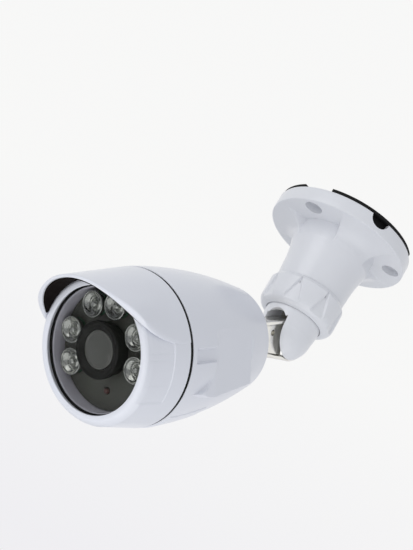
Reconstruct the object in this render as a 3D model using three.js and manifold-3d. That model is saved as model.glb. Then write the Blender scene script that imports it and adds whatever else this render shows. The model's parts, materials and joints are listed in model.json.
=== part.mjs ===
// Bullet security camera on a ceiling bracket, in millimetres, +Z up.
// The origin is the centre of the bracket's mounting face, and +Z points out of it into the ceiling.
// The bracket hangs down along -Z, and the camera looks towards -Y and down.

import * as THREE from 'three';
import { mergeVertices } from 'three/addons/utils/BufferGeometryUtils.js';
import Module from 'manifold-3d';

const wasm = await Module();
wasm.setup();

// General
const clearance = 0.3;              // gap between pieces that seat on each other
const overrun = 1;                  // how far a cutter runs past what it cuts
const fullTurn = 2 * Math.PI;
const degree = Math.PI / 180;
const fineSides = 48;               // sides of the large turned shells
const coarseSides = 24;             // sides of the turned inner pieces
const smallSides = 12;              // sides of pins, screws and small lenses
const nutSides = 6;
const roundSteps = 12;              // steps of a half circle in a flat outline
const bendSteps = 4;                // steps of a small rounding
const weldTolerance = 1e-5;         // corners closer than this are one corner

// Rest pose of the joints
const tiltAngle = 52.3 * degree;    // bend of the arm away from straight down
const rollAngle = 6.2 * degree;     // turn of the camera about its own axis

// Bracket base: heights are measured up from the tilt pivot
const pivotDrop = 69.8;             // mounting face to tilt pivot
const gasketThickness = 2;
const baseRadius = 39.5;
const rimHeight = 8.3;
const rimEdge = 0.6;                // small rounding of the rim's edges
const stemTopRadius = 22.6;
const stemRadius = 20.8;
const stemFootRadius = 19.4;
const stemSwellShare = 0.5;         // how much of the stem's widening is done at its waist
const stemWaistShare = 0.45;        // height of the waist within the stem
const stemKneeShare = 0.7;          // height at which the stem has its full radius
const flareHeight = 9.5;            // height over which the stem flares out to the rim
const cableBore = 15;               // radius of the bore for the cable
const baseCavityDepth = 5;
const baseWall = 3.4;
const screwCount = 3;
const screwInset = 7.2;             // rim to the screws' centres
const screwBore = 2.5;
const counterboreRadius = 4.9;
const counterboreDepth = 5;
const screwBossRadius = 6.4;
const pocketBite = 0.2;             // how far the pocket of each screw cuts into the stem
const pocketFoot = 2;               // how far the pocket reaches down below the flare
const pocketHalfAngle = 30 * degree;
const firstScrewAngle = -90 * degree;
const notchAngle = -31.2 * degree;  // cable outlet in the rim
const notchRadius = 5.6;
const gasketGapTurn = 1 * degree;   // gaps of the gasket to the screws
const gasketGapWidth = 17.5;
const gasketWeb = 1.6;              // inner edge of the gasket that runs past the gaps
const gasketMargin = 5.3;           // width of the gasket inside the screws' centres
const gasketSkirtDepth = 4.6;       // skirt that reaches down inside the rim and closes the cable outlet
const gasketSkirtWall = 1.6;

// Lock ring
const ringTop = 26.1;
const ringMouth = 8.7;
const ringMouthRadius = 16.1;
const ringRadius = 21.4;
const ringShoulder = 13.5;          // height at which the ring starts to draw in
const ringLip = 1.6;
const ringBore = 17.7;
const padCount = 8;
const padHeight = 1.3;              // how far the grip pads stand proud of the valleys
const valleyHalfWidth = 4.2;
const valleyFoot = 12;
const valleyAngle = -25.6 * degree;

// Knuckle: a slotted dome that hangs from the lock ring
const domeRadius = 14.8;
const domeSkirtRadius = 15.7;
const slotHeight = -0.5;            // centre of the slot's round end, from the pivot up
const slotPlay = 0.7;               // room on each side of the arm
const flangeRadius = 17.3;
const flangeThickness = 2.6;
const spigotRadius = 14.6;
const spigotTop = 22;
const knuckleBore = 12.4;
const washerThickness = 0.6;
const saddleThickness = 4;
const saddleCableBore = 3;

// Tilt arm
const armThickness = 11.8;
const armDiscRadius = 14.1;
const armLowerHalf = 13.4;          // reach of the arm's lower edge beside the disc
const armUpperHalf = 8.6;
const armRootReach = 4.6;
const armTipHalf = 8.2;
const armFlangeRadius = 12;
const armFlangeThickness = 3.2;
const armPocketDepth = 1.6;
const armRim = 2.2;
const armHoleRadius = 1.6;
const armHoleShare = 0.45;          // place of the hole along the arm
const armHoleRise = 2;
const armPocketStart = 7.5;
const studRadius = 4;
const pinRadius = 2.5;
const pinLength = 23;

// Camera body: distances are measured forwards from the seam between the housings
const bodyReach = 119;              // tilt pivot to the seam
const seamRadius = 37.5;
const seamGap = 1.8;                // width of the rubber ring that shows in the seam
const housingLength = 71;
const housingTailRadius = 26.2;
const housingWall = 3.2;
const tailWall = 3.6;
const tailRounding = 2.6;
const bossLength = 9;
const bossRootRadius = 15;
const bossRadius = 13;
const flankToeHalf = 32.4;          // half widths over the two flat flanks: at the toe, in front, at the end
const flankHalf = 35.3;
const flankEndHalf = 31.1;
const flankToe = 5.1;               // seam to the flank's foremost tip, low on the side
const flankShoulder = 13;
const flankStart = 19.4;            // seam to the flank's front edge above its bend
const flankEnd = 51;
const flankTop = 13;
const flankBend = 5;                // where the front edge starts to bend towards the toe
const flankDrop = 21.3;             // bottom edge below the middle, in front and at the end
const flankEndDrop = 17.8;
const wallDrawIn = 1.9;             // how much thicker the wall is behind the thread
const wallRampEnd = 21;
const grooveStart = 3.6;
const grooveEnd = 21;
const grooveHalfHeight = 3.4;
const grooveFloorHalf = 35;         // half width over the floors of the two side grooves
const grooveDrop = 0.9;             // the groove sits a little under the middle
const skirtLength = 9;              // threaded skirt of the front cap inside the housing
const skirtWall = 2.2;
const serviceLidLength = 26;
const serviceLidWidth = 45;
const serviceLidRise = 0.3;         // how far the lid stands proud of the housing
const serviceLidDepth = 1.6;        // how far it is let into the wall
const serviceLidStart = 3.4;

// Front cap, hood and visor
const capDepth = 26;
const lipStart = 22.4;
const capTaper = 2.9;               // how much the cap draws in from the seam to the lip
const lipStep = 1.95;               // how much the lip stands in from the cap's front
const lipWidth = 3.35;
const lipRounding = 1.5;
const lipDish = 0.6;                // how far the lip's inner edge lies behind its front
const lipShoulder = 25;             // back of the thin catch that holds the window
const sealLedge = 23.2;             // back of the window's bore, where the seal bears
const lipOverlap = 1.7;             // how far the lip reaches in over the sleeve's bore
const hoodTaper = 2.9;
const hoodReach = 42;
const hoodSweep = 24;               // how far the visor's edge falls back over a quarter turn
const hoodWall = 2.2;
const hoodSideHeight = 4.7;
const hoodEdgeShares = [[0.5, 1.3], [0.8, 2]];  // lower edge: along the cap's depth, up by side heights
const visorEdgeShares = [2.6, 3.5];             // heights of the visor's lower edge, by side heights
const gripStart = 10.3;
const gripEnd = 24.5;
const gripPanels = [                // heights from the middle of the side, and depths
  { top: 14, bottom: -13.2, depth: 0.9 },
  { top: -13.2, bottom: -21.3, depth: 0.4 },
];
const linerThickness = 0.8;
const linerInset = 1.4;

// Window
const sealThickness = 0.5;
const sealWidth = 1.6;
const borePlay = 0.5;               // room round the seal and the sleeve in the cap's bore
const glassCatch = 0.4;             // how far the lip's catch reaches in over the window

// What the window shows
const sleeveWall = 2;
const sleeveBack = 7.6;
const maskFace = 15;
const maskThickness = 1.4;
const irBoardThickness = 1.6;
const ledOuterMargin = 0.9;         // lamp lenses to the sleeve
const ledInnerMargin = 1.6;         // lamp lenses to the shroud
const ledCupFace = 19.2;
const ledCupFoot = 2.6;             // radius of the cup where it meets its chip
const ledCupCrown = 0.4;            // rise of the cup's face in its middle
const ledChipSide = 3.4;
const ledChipThickness = 1;
const ledAngles = [-110.5, -70, -19, 19, 70, 110.5].map((angle) => angle * degree);
const shroudRadius = 13.4;
const shroudNeckRadius = 12;
const shroudFlange = 3;             // depth of the shroud's wide front
const shroudBore = 9.2;
const shroudLand = 1.9;             // flat width at the shroud's front
const shroudDish = 1.4;
const lensRadius = 8.9;
const lensSag = 1;
const lensThickness = 1.4;
const lensBarrelRadius = 7.6;
const lensHeadLength = 6;
const photocellRadius = 1.5;
const photocellShare = 0.38;        // place of the light sensor between the shroud and the sleeve
const photocellHeight = 2.6;

// Electronics
const holderRadius = 10.6;
const holderLength = 10;
const boardThickness = 1.6;
const sensorBoardFace = -6.6;
const sensorSide = 9;
const sensorThickness = 1.2;
const standoffInset = 4;            // edge of the boards to the standoffs' centres
const standoffGap = 1.4;            // room between a standoff and the sleeve's ledge
const standoffRadius = 2.5;
const mainBoardGap = 12;
const processorSide = 12;
const processorThickness = 1.6;
const headerWidth = 14;
const headerDepth = 5;
const headerHeight = 6;
const headerDrop = 13;
const nutRadius = 7.6;
const nutThickness = 4;
const nutWasherRadius = 9;
const nutWasherThickness = 1;
const swivelWasherThickness = 1;

// Radii that follow from the seam inwards
const capFrontRadius = seamRadius - capTaper;
const hoodTipRadius = seamRadius - hoodTaper;
const lipRadius = capFrontRadius - lipStep;
const lipOpening = lipRadius - lipWidth;
const capBore = lipOpening + lipOverlap;
const sleeveRadius = capBore - borePlay;
const glassRadius = lipOpening + glassCatch;
const sleeveInner = sleeveRadius - sleeveWall;
const sleeveLedge = sleeveInner - sleeveWall;
const ledCupRadius = (sleeveInner - ledOuterMargin - ledInnerMargin - shroudRadius) / 2;
const ledCircle = shroudRadius + ledInnerMargin + ledCupRadius;
const photocellReach = shroudRadius + photocellShare * (sleeveInner - shroudRadius);
const standoffReach = (sleeveLedge - standoffGap - standoffRadius) / Math.SQRT2;
const boardSide = 2 * (standoffReach + standoffInset);

// Materials
function material(color, roughness, metalness) {
  return new THREE.MeshStandardMaterial({ color, roughness, metalness });
}
const whiteShell = material(0xe2e4ec, 0.28, 0);
const blackRubber = material(0x0c0c0d, 0.7, 0);
const blackPlastic = material(0x101011, 0.4, 0);
const chrome = material(0xc9c8c2, 0.15, 1);
const steel = material(0xa5a6a8, 0.35, 1);
const smokedGlass = material(0x30332c, 0.05, 0);
const clearLens = material(0xd9ddd6, 0.05, 0);
const greySleeve = material(0xa3a2b4, 0.45, 0);
const darkMask = material(0x24261f, 0.6, 0);
const boardGreen = material(0x1f5a37, 0.5, 0);
const chipBlack = material(0x17181a, 0.5, 0);
const emitter = material(0xd8c878, 0.4, 0);
const sensorRed = material(0x7a3b32, 0.3, 0);
const nylon = material(0xd8d6cd, 0.6, 0);

// A closed three.js geometry as a solid that can be cut and joined
function solid(geometry) {
  const bare = geometry.clone();
  bare.deleteAttribute('normal');
  bare.deleteAttribute('uv');
  const merged = mergeVertices(bare, weldTolerance);
  const corners = merged.index.array;
  const kept = [];
  for (let i = 0; i < corners.length; i += 3) {
    const [a, b, c] = [corners[i], corners[i + 1], corners[i + 2]];
    if (a !== b && b !== c && c !== a) kept.push(a, b, c);
  }
  const places = merged.attributes.position.array;
  if (signedVolume(places, kept) < 0) kept.reverse();
  const mesh = new wasm.Mesh({
    numProp: 3,
    vertProperties: new Float32Array(places),
    triVerts: new Uint32Array(kept),
  });
  return new wasm.Manifold(mesh);
}

function signedVolume(places, corners) {
  const at = (k) => new THREE.Vector3().fromArray(places, 3 * corners[k]);
  let volume = 0;
  for (let i = 0; i < corners.length; i += 3) {
    volume += at(i).dot(at(i + 1).cross(at(i + 2)));
  }
  return volume;
}

function geometryOf(body) {
  const mesh = body.getMesh();
  const geometry = new THREE.BufferGeometry();
  const places = new Float32Array(mesh.numVert * 3);
  for (let i = 0; i < mesh.numVert; i += 1) {
    places.set(mesh.vertProperties.subarray(i * mesh.numProp, i * mesh.numProp + 3), 3 * i);
  }
  geometry.setAttribute('position', new THREE.BufferAttribute(places, 3));
  geometry.setIndex(new THREE.BufferAttribute(new Uint32Array(mesh.triVerts), 1));
  geometry.computeVertexNormals();
  return geometry;
}

// A solid turned about Z: the profile is a closed loop of [radius, height] points
function turned(profile, sides) {
  const points = profile.map(([radius, height]) => new THREE.Vector2(radius, height));
  points.push(points[0].clone());
  return solid(new THREE.LatheGeometry(points, sides).rotateX(Math.PI / 2));
}

function tube(outer, inner, low, high, sides) {
  return turned([[inner, low], [outer, low], [outer, high], [inner, high]], sides);
}

function disc(radius, low, high, sides) {
  return turned([[0, low], [radius, low], [radius, high], [0, high]], sides);
}

function block(width, depth, low, high) {
  const geometry = new THREE.BoxGeometry(width, depth, high - low);
  return solid(geometry.translate(0, 0, (low + high) / 2));
}

// A flat outline of [x, y] points pushed up along Z from low to high
function prism(outline, low, high) {
  const shape = new THREE.Shape(outline.map(([x, y]) => new THREE.Vector2(x, y)));
  const geometry = new THREE.ExtrudeGeometry(shape, { depth: high - low, bevelEnabled: false });
  return solid(geometry.translate(0, 0, low));
}

// Points of an arc about a centre, both ends included
function arc([cx, cy], radius, from, to, steps) {
  const points = [];
  for (let i = 0; i <= steps; i += 1) {
    const angle = from + (to - from) * i / steps;
    points.push([cx + radius * Math.cos(angle), cy + radius * Math.sin(angle)]);
  }
  return points;
}

function turnedBy(body, angle) {
  return body.rotate([0, 0, angle / degree]);
}

function named(name, body, look) {
  const mesh = new THREE.Mesh(geometryOf(body), look);
  mesh.name = name;
  return mesh;
}

// A soft step from 0 to 1 as x runs from start to end
function softStep(start, end, x) {
  const t = Math.min(Math.max((x - start) / (end - start), 0), 1);
  return t * t * (3 - 2 * t);
}

// Bracket
const rimBottom = pivotDrop - gasketThickness - rimHeight;
const rimTop = pivotDrop - gasketThickness;
const screwCircle = baseRadius - screwInset;
const stemFoot = ringTop + clearance;
const washerLow = ringMouth + ringLip + clearance + flangeThickness + clearance;
const stemEnd = washerLow + washerThickness + clearance;

function baseStem() {
  const flareStart = rimBottom - flareHeight;
  const flareWidth = baseRadius - stemTopRadius;
  const flare = [];
  const flareSteps = 5;
  for (let i = 0; i <= flareSteps; i += 1) {
    const angle = (Math.PI / 2) * i / flareSteps;
    flare.push([
      stemTopRadius + flareWidth * (1 - Math.cos(angle)),
      flareStart + flareHeight * Math.sin(angle),
    ]);
  }
  const spigot = ringBore - clearance;
  const stemWidening = stemRadius - stemFootRadius;
  const stemHeight = flareStart - stemFoot;
  let body = turned([
    [cableBore, stemEnd],
    [spigot, stemEnd],
    [spigot, stemFoot],
    [stemFootRadius, stemFoot],
    [stemFootRadius + stemSwellShare * stemWidening, stemFoot + stemWaistShare * stemHeight],
    [stemRadius, stemFoot + stemKneeShare * stemHeight],
    ...flare,
    [baseRadius, rimTop - rimEdge],
    [baseRadius - rimEdge, rimTop],
    [cableBore, rimTop],
  ], fineSides);
  const cavityFloor = rimTop - baseCavityDepth;
  const rimInner = baseRadius - baseWall;
  const cavity = tube(rimInner, cableBore - overrun, cavityFloor, rimTop + overrun, fineSides);
  const cutters = [];
  const bosses = [];
  for (let i = 0; i < screwCount; i += 1) {
    const angle = firstScrewAngle + fullTurn * i / screwCount;
    const boss = disc(screwBossRadius, cavityFloor - overrun, rimTop + 2 * overrun, coarseSides);
    bosses.push(turnedBy(boss.translate([screwCircle, 0, 0]), angle));
    cutters.push(turnedBy(screwPocket(), angle));
  }
  const hollow = bosses.reduce((rest, boss) => rest.subtract(boss), cavity);
  body = body.subtract(hollow);
  for (const cutter of cutters) body = body.subtract(cutter);
  return body.subtract(turnedBy(cableNotch(), notchAngle));
}

// Everything that is cut away at one screw: the open pocket, the counterbore and the bore
function screwPocket() {
  const wall = stemTopRadius - pocketBite;
  const outline = [
    ...arc([0, 0], wall, pocketHalfAngle, -pocketHalfAngle, roundSteps),
    ...arc([0, 0], baseRadius + 2 * overrun, -pocketHalfAngle, pocketHalfAngle, roundSteps),
  ];
  const pocket = prism(outline, rimBottom - flareHeight - pocketFoot, rimBottom);
  const bore = disc(screwBore, rimBottom - overrun, rimTop + overrun, smallSides);
  const counterbore = disc(counterboreRadius, rimBottom - overrun, rimBottom + counterboreDepth, coarseSides);
  return pocket.add(bore.add(counterbore).translate([screwCircle, 0, 0]));
}

// U-shaped outlet for the cable, through the rim wall from the mounting side
function cableNotch() {
  const outline = [
    ...arc([0, -rimTop], notchRadius, 0, Math.PI, roundSteps),
    [-notchRadius, -rimTop - overrun],
    [notchRadius, -rimTop - overrun],
  ];
  const cutter = prism(outline, cableBore, baseRadius + overrun);
  return cutter.rotate([-90, 0, 0]).rotate([0, 0, -90]);
}

// A flat ring with a gap at each screw, and a skirt inside the rim that leaves out the screws' bosses
function baseGasket() {
  const gasketInnerRadius = screwCircle - gasketMargin;
  const ring = tube(baseRadius - rimEdge, gasketInnerRadius, rimTop + clearance, pivotDrop, fineSides);
  const skirtOuter = baseRadius - baseWall - clearance;
  const skirtFoot = rimTop - gasketSkirtDepth;
  const skirt = tube(skirtOuter, skirtOuter - gasketSkirtWall, skirtFoot, pivotDrop - clearance, fineSides);
  const bossRoom = disc(screwBossRadius + clearance, skirtFoot - overrun, rimTop + clearance, coarseSides)
    .translate([screwCircle, 0, 0]);
  const gap = block(baseRadius, gasketGapWidth, rimTop, pivotDrop + overrun)
    .translate([gasketInnerRadius + gasketWeb + baseRadius / 2, 0, 0]);
  let body = ring.add(skirt);
  for (let i = 0; i < screwCount; i += 1) {
    const angle = firstScrewAngle + fullTurn * i / screwCount;
    body = body.subtract(turnedBy(gap, angle + gasketGapTurn));
    body = body.subtract(turnedBy(bossRoom, angle));
  }
  return body;
}

function lockRing() {
  const drawIn = ringRadius - ringMouthRadius;
  const nose = arc([0, 0], 1, -Math.PI / 2, 0, bendSteps)
    .map(([x, y]) => [ringMouthRadius + x * drawIn, ringShoulder + y * (ringShoulder - ringMouth)]);
  let body = turned([
    ...nose,
    [ringRadius, ringTop - 2 * padHeight],
    [ringRadius - padHeight, ringTop],
    [ringBore, ringTop],
    [ringBore, ringMouth + ringLip],
    [ringMouthRadius, ringMouth + ringLip],
  ], fineSides);
  const wedge = [
    [0, -ringTop + padHeight],
    [valleyHalfWidth, -valleyFoot],
    [valleyHalfWidth, -ringMouth + overrun],
    [-valleyHalfWidth, -ringMouth + overrun],
    [-valleyHalfWidth, -valleyFoot],
  ];
  const valley = prism(wedge, ringRadius - padHeight, ringRadius + overrun)
    .rotate([-90, 0, 0])
    .rotate([0, 0, -90]);
  for (let i = 0; i < padCount; i += 1) {
    body = body.subtract(turnedBy(valley, valleyAngle + fullTurn * i / padCount));
  }
  return body;
}

function knuckleDome() {
  const skirtFoot = ringMouth - 2 * clearance;
  const flangeLow = ringMouth + ringLip + clearance;
  const flangeHigh = flangeLow + flangeThickness;
  const dome = arc([0, 0], domeRadius, -Math.PI / 2, 0, 2 * bendSteps);
  const outer = turned([
    ...dome,
    [domeSkirtRadius, skirtFoot],
    [domeSkirtRadius, flangeLow],
    [flangeRadius, flangeLow],
    [flangeRadius, flangeHigh],
    [spigotRadius, flangeHigh],
    [spigotRadius, spigotTop],
    [0, spigotTop],
  ], fineSides);
  const slotHalf = armThickness / 2 + slotPlay;
  const slot = prism([
    ...arc([0, slotHeight], slotHalf, 0, Math.PI, roundSteps),
    [-slotHalf, -domeRadius - overrun],
    [slotHalf, -domeRadius - overrun],
  ], -domeSkirtRadius - overrun, domeSkirtRadius)
    .rotate([90, 0, 0])
    .translate([0, overrun / 2, 0]);
  const discRoom = disc(armDiscRadius + clearance, -slotHalf, slotHalf, fineSides).rotate([0, 90, 0]);
  const bore = disc(knuckleBore, armDiscRadius, spigotTop + overrun, coarseSides);
  const grooveHalf = pinRadius + clearance;
  const grooveReach = pinLength / 2 + clearance;
  const groove = block(2 * grooveReach, 2 * grooveHalf, 0, spigotTop);
  const grooveFloor = disc(grooveHalf, -grooveReach, grooveReach, smallSides).rotate([0, 90, 0]);
  return outer.subtract(slot).subtract(discRoom).subtract(bore).subtract(groove).subtract(grooveFloor);
}

function frictionWasher() {
  return tube(flangeRadius, spigotRadius + clearance, washerLow, washerLow + washerThickness, coarseSides);
}

// A pad that the bracket's stem pushes down onto the disc and the pin's two ends
function clampSaddle() {
  const low = armDiscRadius + clearance;
  const pad = disc(knuckleBore - clearance, low, low + saddleThickness, coarseSides);
  const legGap = armThickness + 4 * clearance;
  const legs = block(pinLength, 2 * pinRadius, pinRadius + clearance, low + clearance)
    .subtract(block(legGap, 4 * pinRadius, 0, low));
  const bore = disc(saddleCableBore, low - overrun, low + saddleThickness + overrun, smallSides);
  return pad.add(legs).subtract(bore);
}

// Tilt arm, along -Z from the pivot, with its pin along X
const armLength = bodyReach - housingLength - bossLength - 2 * clearance - swivelWasherThickness;

function tiltArm() {
  const tip = armLength - armFlangeThickness;
  const plate = (lower, upper, tipHalf, start) => prism([
    [lower, -start],
    [tipHalf, -tip],
    [-tipHalf, -tip],
    [-upper, -start],
  ], -armThickness / 2, armThickness / 2);
  const above = block(2 * armDiscRadius, armDiscRadius, -armThickness, armThickness)
    .translate([0, -armUpperHalf - armDiscRadius / 2, 0]);
  const wheel = disc(armDiscRadius, -armThickness / 2, armThickness / 2, fineSides)
    .subtract(above.rotate([0, 0, 90]));
  const blade = plate(armLowerHalf, armUpperHalf, armTipHalf, armRootReach).add(wheel).rotate([90, 0, 90]);
  const pocketShare = (armPocketStart - armRootReach) / (tip - armRootReach);
  const pocketLower = armLowerHalf - (armLowerHalf - armTipHalf) * pocketShare - armRim;
  const pocketTip = armTipHalf - armRim;
  const pocket = plate(pocketLower, armUpperHalf - armRim, pocketTip, armPocketStart).rotate([90, 0, 90]);
  const side = armThickness - armPocketDepth;
  const flange = disc(armFlangeRadius, -armLength, -tip + clearance, coarseSides);
  const studEnd = bodyReach - housingLength + tailWall + nutThickness + nutWasherThickness + 3 * clearance;
  const stud = disc(studRadius, -studEnd, -tip, smallSides);
  const across = (radius) => disc(radius, -armThickness, armThickness, smallSides).rotate([0, 90, 0]);
  const hole = across(armHoleRadius).translate([0, -armHoleRise, -armHoleShare * armLength]);
  const pinHole = across(pinRadius + clearance);
  return blade
    .subtract(pocket.translate([side, 0, 0]))
    .subtract(pocket.translate([-side, 0, 0]))
    .subtract(hole)
    .subtract(pinHole)
    .add(flange)
    .add(stud);
}

function swivelWasher() {
  const high = -armLength - clearance;
  return tube(armFlangeRadius, studRadius + clearance, high - swivelWasherThickness, high, coarseSides);
}

function pivotPin() {
  return disc(pinRadius, -pinLength / 2, pinLength / 2, smallSides).rotate([0, 90, 0]);
}

// Camera body, along +Z from the seam, with the hood towards +Y
function housingRadius(back) {
  const share = back / housingLength;
  return seamRadius - (seamRadius - housingTailRadius) * share * share;
}

function rearHousing() {
  const outline = [];
  const steps = 9;
  const straight = housingLength - tailRounding;
  for (let i = 0; i <= steps; i += 1) {
    const back = seamGap / 2 + (straight - seamGap / 2) * i / steps;
    outline.push([housingRadius(back), -back]);
  }
  const tailCentre = [housingRadius(straight) - tailRounding, -straight];
  outline.push(...arc(tailCentre, tailRounding, 0, -Math.PI / 2, bendSteps).slice(1));
  const shell = turned([
    [0, -seamGap / 2],
    ...outline,
    [0, -housingLength],
  ], fineSides);
  const inner = [];
  for (let i = 0; i <= steps; i += 1) {
    const back = (housingLength - tailWall) * i / steps;
    const drawIn = wallDrawIn * softStep(skirtLength + overrun, wallRampEnd, back);
    inner.push([housingRadius(back) - housingWall - drawIn, -back]);
  }
  const cavity = turned([
    [0, overrun],
    [seamRadius - housingWall, overrun],
    ...inner,
    [0, -housingLength + tailWall],
  ], fineSides);
  const boss = turned([
    [0, -housingLength + overrun],
    [bossRootRadius, -housingLength + overrun],
    [bossRootRadius, -housingLength],
    [bossRadius, -housingLength - bossLength],
    [0, -housingLength - bossLength],
  ], coarseSides);
  const studHole = disc(studRadius + clearance, -housingLength - bossLength - overrun, overrun, smallSides);
  const groove = block(seamRadius, 2 * grooveHalfHeight, -grooveEnd, -grooveStart)
    .translate([grooveFloorHalf + seamRadius / 2, -grooveDrop, 0]);
  const room = flank(seamRadius + overrun, flankTop);
  const pad = flank(0, 0);
  const lidSeat = underside(clearance, overrun);
  return shell
    .subtract(room)
    .subtract(room.mirror([1, 0, 0]))
    .add(pad)
    .add(pad.mirror([1, 0, 0]))
    .subtract(cavity)
    .add(boss)
    .subtract(studHole)
    .subtract(groove)
    .subtract(groove.mirror([1, 0, 0]))
    .subtract(lidSeat);
}

// What lies between a side's flat flank and the given half width, from the bottom edge up to the top
function flank(half, top) {
  const bend = arc([-flankToe, -flankBend], flankStart - flankToe, Math.PI, 3 * Math.PI / 2, bendSteps);
  const sideView = prism([
    [-flankStart, flankTop],
    ...bend,
    [-flankStart, -flankDrop],
    [-flankEnd, -flankEndDrop],
    [-flankEnd, flankTop],
  ], -seamRadius - overrun, 0).rotate([0, -90, 0]);
  const plan = prism([
    [half, -flankToe + overrun],
    [flankToeHalf, -flankToe + overrun],
    [flankToeHalf, -flankToe],
    [flankHalf, -flankShoulder],
    [flankHalf, -flankStart],
    [flankEndHalf, -flankEnd],
    [half, -flankEnd],
  ], -top, seamRadius).rotate([90, 0, 0]);
  return plan.intersect(sideView);
}

// A curved plate let into the housing's underside: margin widens and deepens it, rise lifts its face
function underside(margin, rise) {
  const steps = 4;
  const low = -serviceLidStart - serviceLidLength - margin;
  const high = -serviceLidStart + margin;
  const face = [];
  const floor = [];
  for (let i = 0; i <= steps; i += 1) {
    const place = low + (high - low) * i / steps;
    face.push([housingRadius(-place) + rise, place]);
    floor.push([housingRadius(-place) - serviceLidDepth - margin, place]);
  }
  const plan = block(serviceLidWidth + 2 * margin, 2 * seamRadius, low, high)
    .translate([0, -seamRadius, 0]);
  return turned([...face, ...floor.reverse()], fineSides).intersect(plan);
}

function serviceLid() {
  return underside(0, serviceLidRise);
}

function seamGasket() {
  const inner = seamRadius - housingWall - clearance;
  const half = seamGap / 2 - clearance / 2;
  return tube(seamRadius - clearance, inner, -half, half, fineSides);
}

function capRadius(ahead) {
  const share = ahead / lipStart;
  return seamRadius - (seamRadius - capFrontRadius) * share;
}

function hoodRadius(ahead) {
  return seamRadius - (seamRadius - hoodTipRadius) * ahead / hoodReach;
}

// Side view of the hood as [ahead, up] points: everything above its lower edge
function hoodOutline(inset) {
  const visorEdge = (up) => [hoodReach - hoodSweep * (1 - up / hoodTipRadius) - inset, up + inset];
  const top = seamRadius + 2 * overrun;
  return [
    [-overrun, hoodSideHeight + inset],
    ...hoodEdgeShares.map(([ahead, up]) => [ahead * capDepth, up * hoodSideHeight + inset]),
    ...visorEdgeShares.map((share) => visorEdge(share * hoodSideHeight)),
    visorEdge(top),
    [-overrun, top + inset],
  ];
}

function hoodSide(inset) {
  return prism(hoodOutline(inset), -seamRadius - overrun, seamRadius + overrun)
    .rotate([0, -90, 0]);
}

function frontCap() {
  const front = seamGap / 2;
  const thread = seamRadius - housingWall - 2 * clearance;
  const barrel = turned([
    [thread - skirtWall, -skirtLength],
    [thread, -skirtLength],
    [thread, front],
    [capRadius(front), front],
    [capRadius(lipStart), lipStart],
    ...arc([lipRadius - lipRounding, capDepth - lipRounding], lipRounding, 0, Math.PI / 2, bendSteps),
    [lipOpening, capDepth - lipDish],
    [lipOpening, lipShoulder],
    [glassRadius + clearance, lipShoulder],
    [glassRadius + clearance, sealLedge],
    [capBore, sealLedge],
    [capBore, 0],
    [thread - skirtWall, 0],
  ], fineSides);
  const hoodInner = lipRadius - clearance;
  const hoodShell = turned([
    [hoodInner, front],
    [hoodRadius(front), front],
    [hoodRadius(hoodReach), hoodReach],
    [hoodRadius(hoodReach) - hoodWall, hoodReach],
    [hoodInner, capDepth - lipRounding],
  ], fineSides);
  const hood = hoodShell.intersect(hoodSide(0));
  return barrel.subtract(gripRecess()).add(hood);
}

// Shallow grip panels under the hood's edge, the same on both sides
function gripRecess() {
  const panels = gripPanels.map(({ top, bottom, depth }) => {
    const band = turned([
      [capRadius(gripEnd) - depth, gripEnd],
      [seamRadius + overrun, gripEnd],
      [seamRadius + overrun, gripStart],
      [capRadius(gripStart) - depth, gripStart],
    ], fineSides);
    const room = block(4 * seamRadius, top - bottom, gripStart - overrun, gripEnd + overrun);
    return band.intersect(room.translate([0, (top + bottom) / 2, 0]));
  });
  return panels.reduce((all, panel) => all.add(panel));
}

function visorLiner() {
  const back = capDepth + clearance;
  const outer = (ahead) => hoodRadius(ahead) - hoodWall - clearance;
  const tip = hoodReach - linerInset;
  const backOuter = lipRadius - 2 * clearance;
  const shell = turned([
    [backOuter - linerThickness, back],
    [backOuter, back],
    [outer(tip), tip],
    [outer(tip) - linerThickness, tip],
  ], fineSides);
  return shell.intersect(hoodSide(linerInset));
}

// Window parts
const sealFront = sealLedge - clearance;
const sleeveFront = sealFront - sealThickness - clearance;
const irBoardFace = maskFace - maskThickness - clearance - ledChipThickness - clearance;
const irBoardBack = irBoardFace - irBoardThickness;
const shroudFront = sealLedge - clearance;

function glassSeal() {
  return tube(sleeveRadius, sleeveRadius - sealWidth, sealFront - sealThickness, sealFront, fineSides);
}

function frontGlass() {
  return disc(glassRadius, sealLedge, lipShoulder - clearance, fineSides);
}

// Sleeve that presses the window forwards and carries the mask and the lamp board
function innerSleeve() {
  return turned([
    [sleeveLedge, sleeveBack],
    [sleeveRadius, sleeveBack],
    [sleeveRadius, sleeveFront],
    [sleeveInner, sleeveFront],
    [sleeveInner, irBoardBack - clearance],
    [sleeveLedge, irBoardBack - clearance],
  ], fineSides);
}

function ledPlaces() {
  return ledAngles.map((angle) => [ledCircle * Math.sin(angle), ledCircle * Math.cos(angle)]);
}

function maskPlate() {
  const radius = sleeveInner - clearance;
  let body = tube(radius, shroudNeckRadius + clearance, maskFace - maskThickness, maskFace, fineSides);
  const hole = (bore) => disc(bore, maskFace - 2 * maskThickness, maskFace + overrun, smallSides);
  for (const [x, y] of ledPlaces()) {
    body = body.subtract(hole(cupRadius(maskFace) + clearance).translate([x, y, 0]));
  }
  return body.subtract(hole(photocellRadius + clearance).translate([0, -photocellReach, 0]));
}

// The cup widens from its foot to its face
const cupBack = irBoardFace + clearance + ledChipThickness;
function cupRadius(height) {
  const share = (height - cupBack) / (ledCupFace - cupBack);
  return ledCupFoot + (ledCupRadius - ledCupFoot) * Math.sqrt(Math.min(Math.max(share, 0), 1));
}

function ledCup() {
  const profile = [[0, cupBack]];
  const steps = bendSteps;
  for (let i = 0; i <= steps; i += 1) {
    const height = cupBack + (ledCupFace - cupBack) * (i / steps) ** 2;
    profile.push([cupRadius(height), height]);
  }
  const crown = ledCupFace + ledCupCrown;
  profile.push([ledCupRadius - ledCupCrown, ledCupFace], [ledCupFoot, crown], [0, crown]);
  return turned(profile, smallSides);
}

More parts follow.
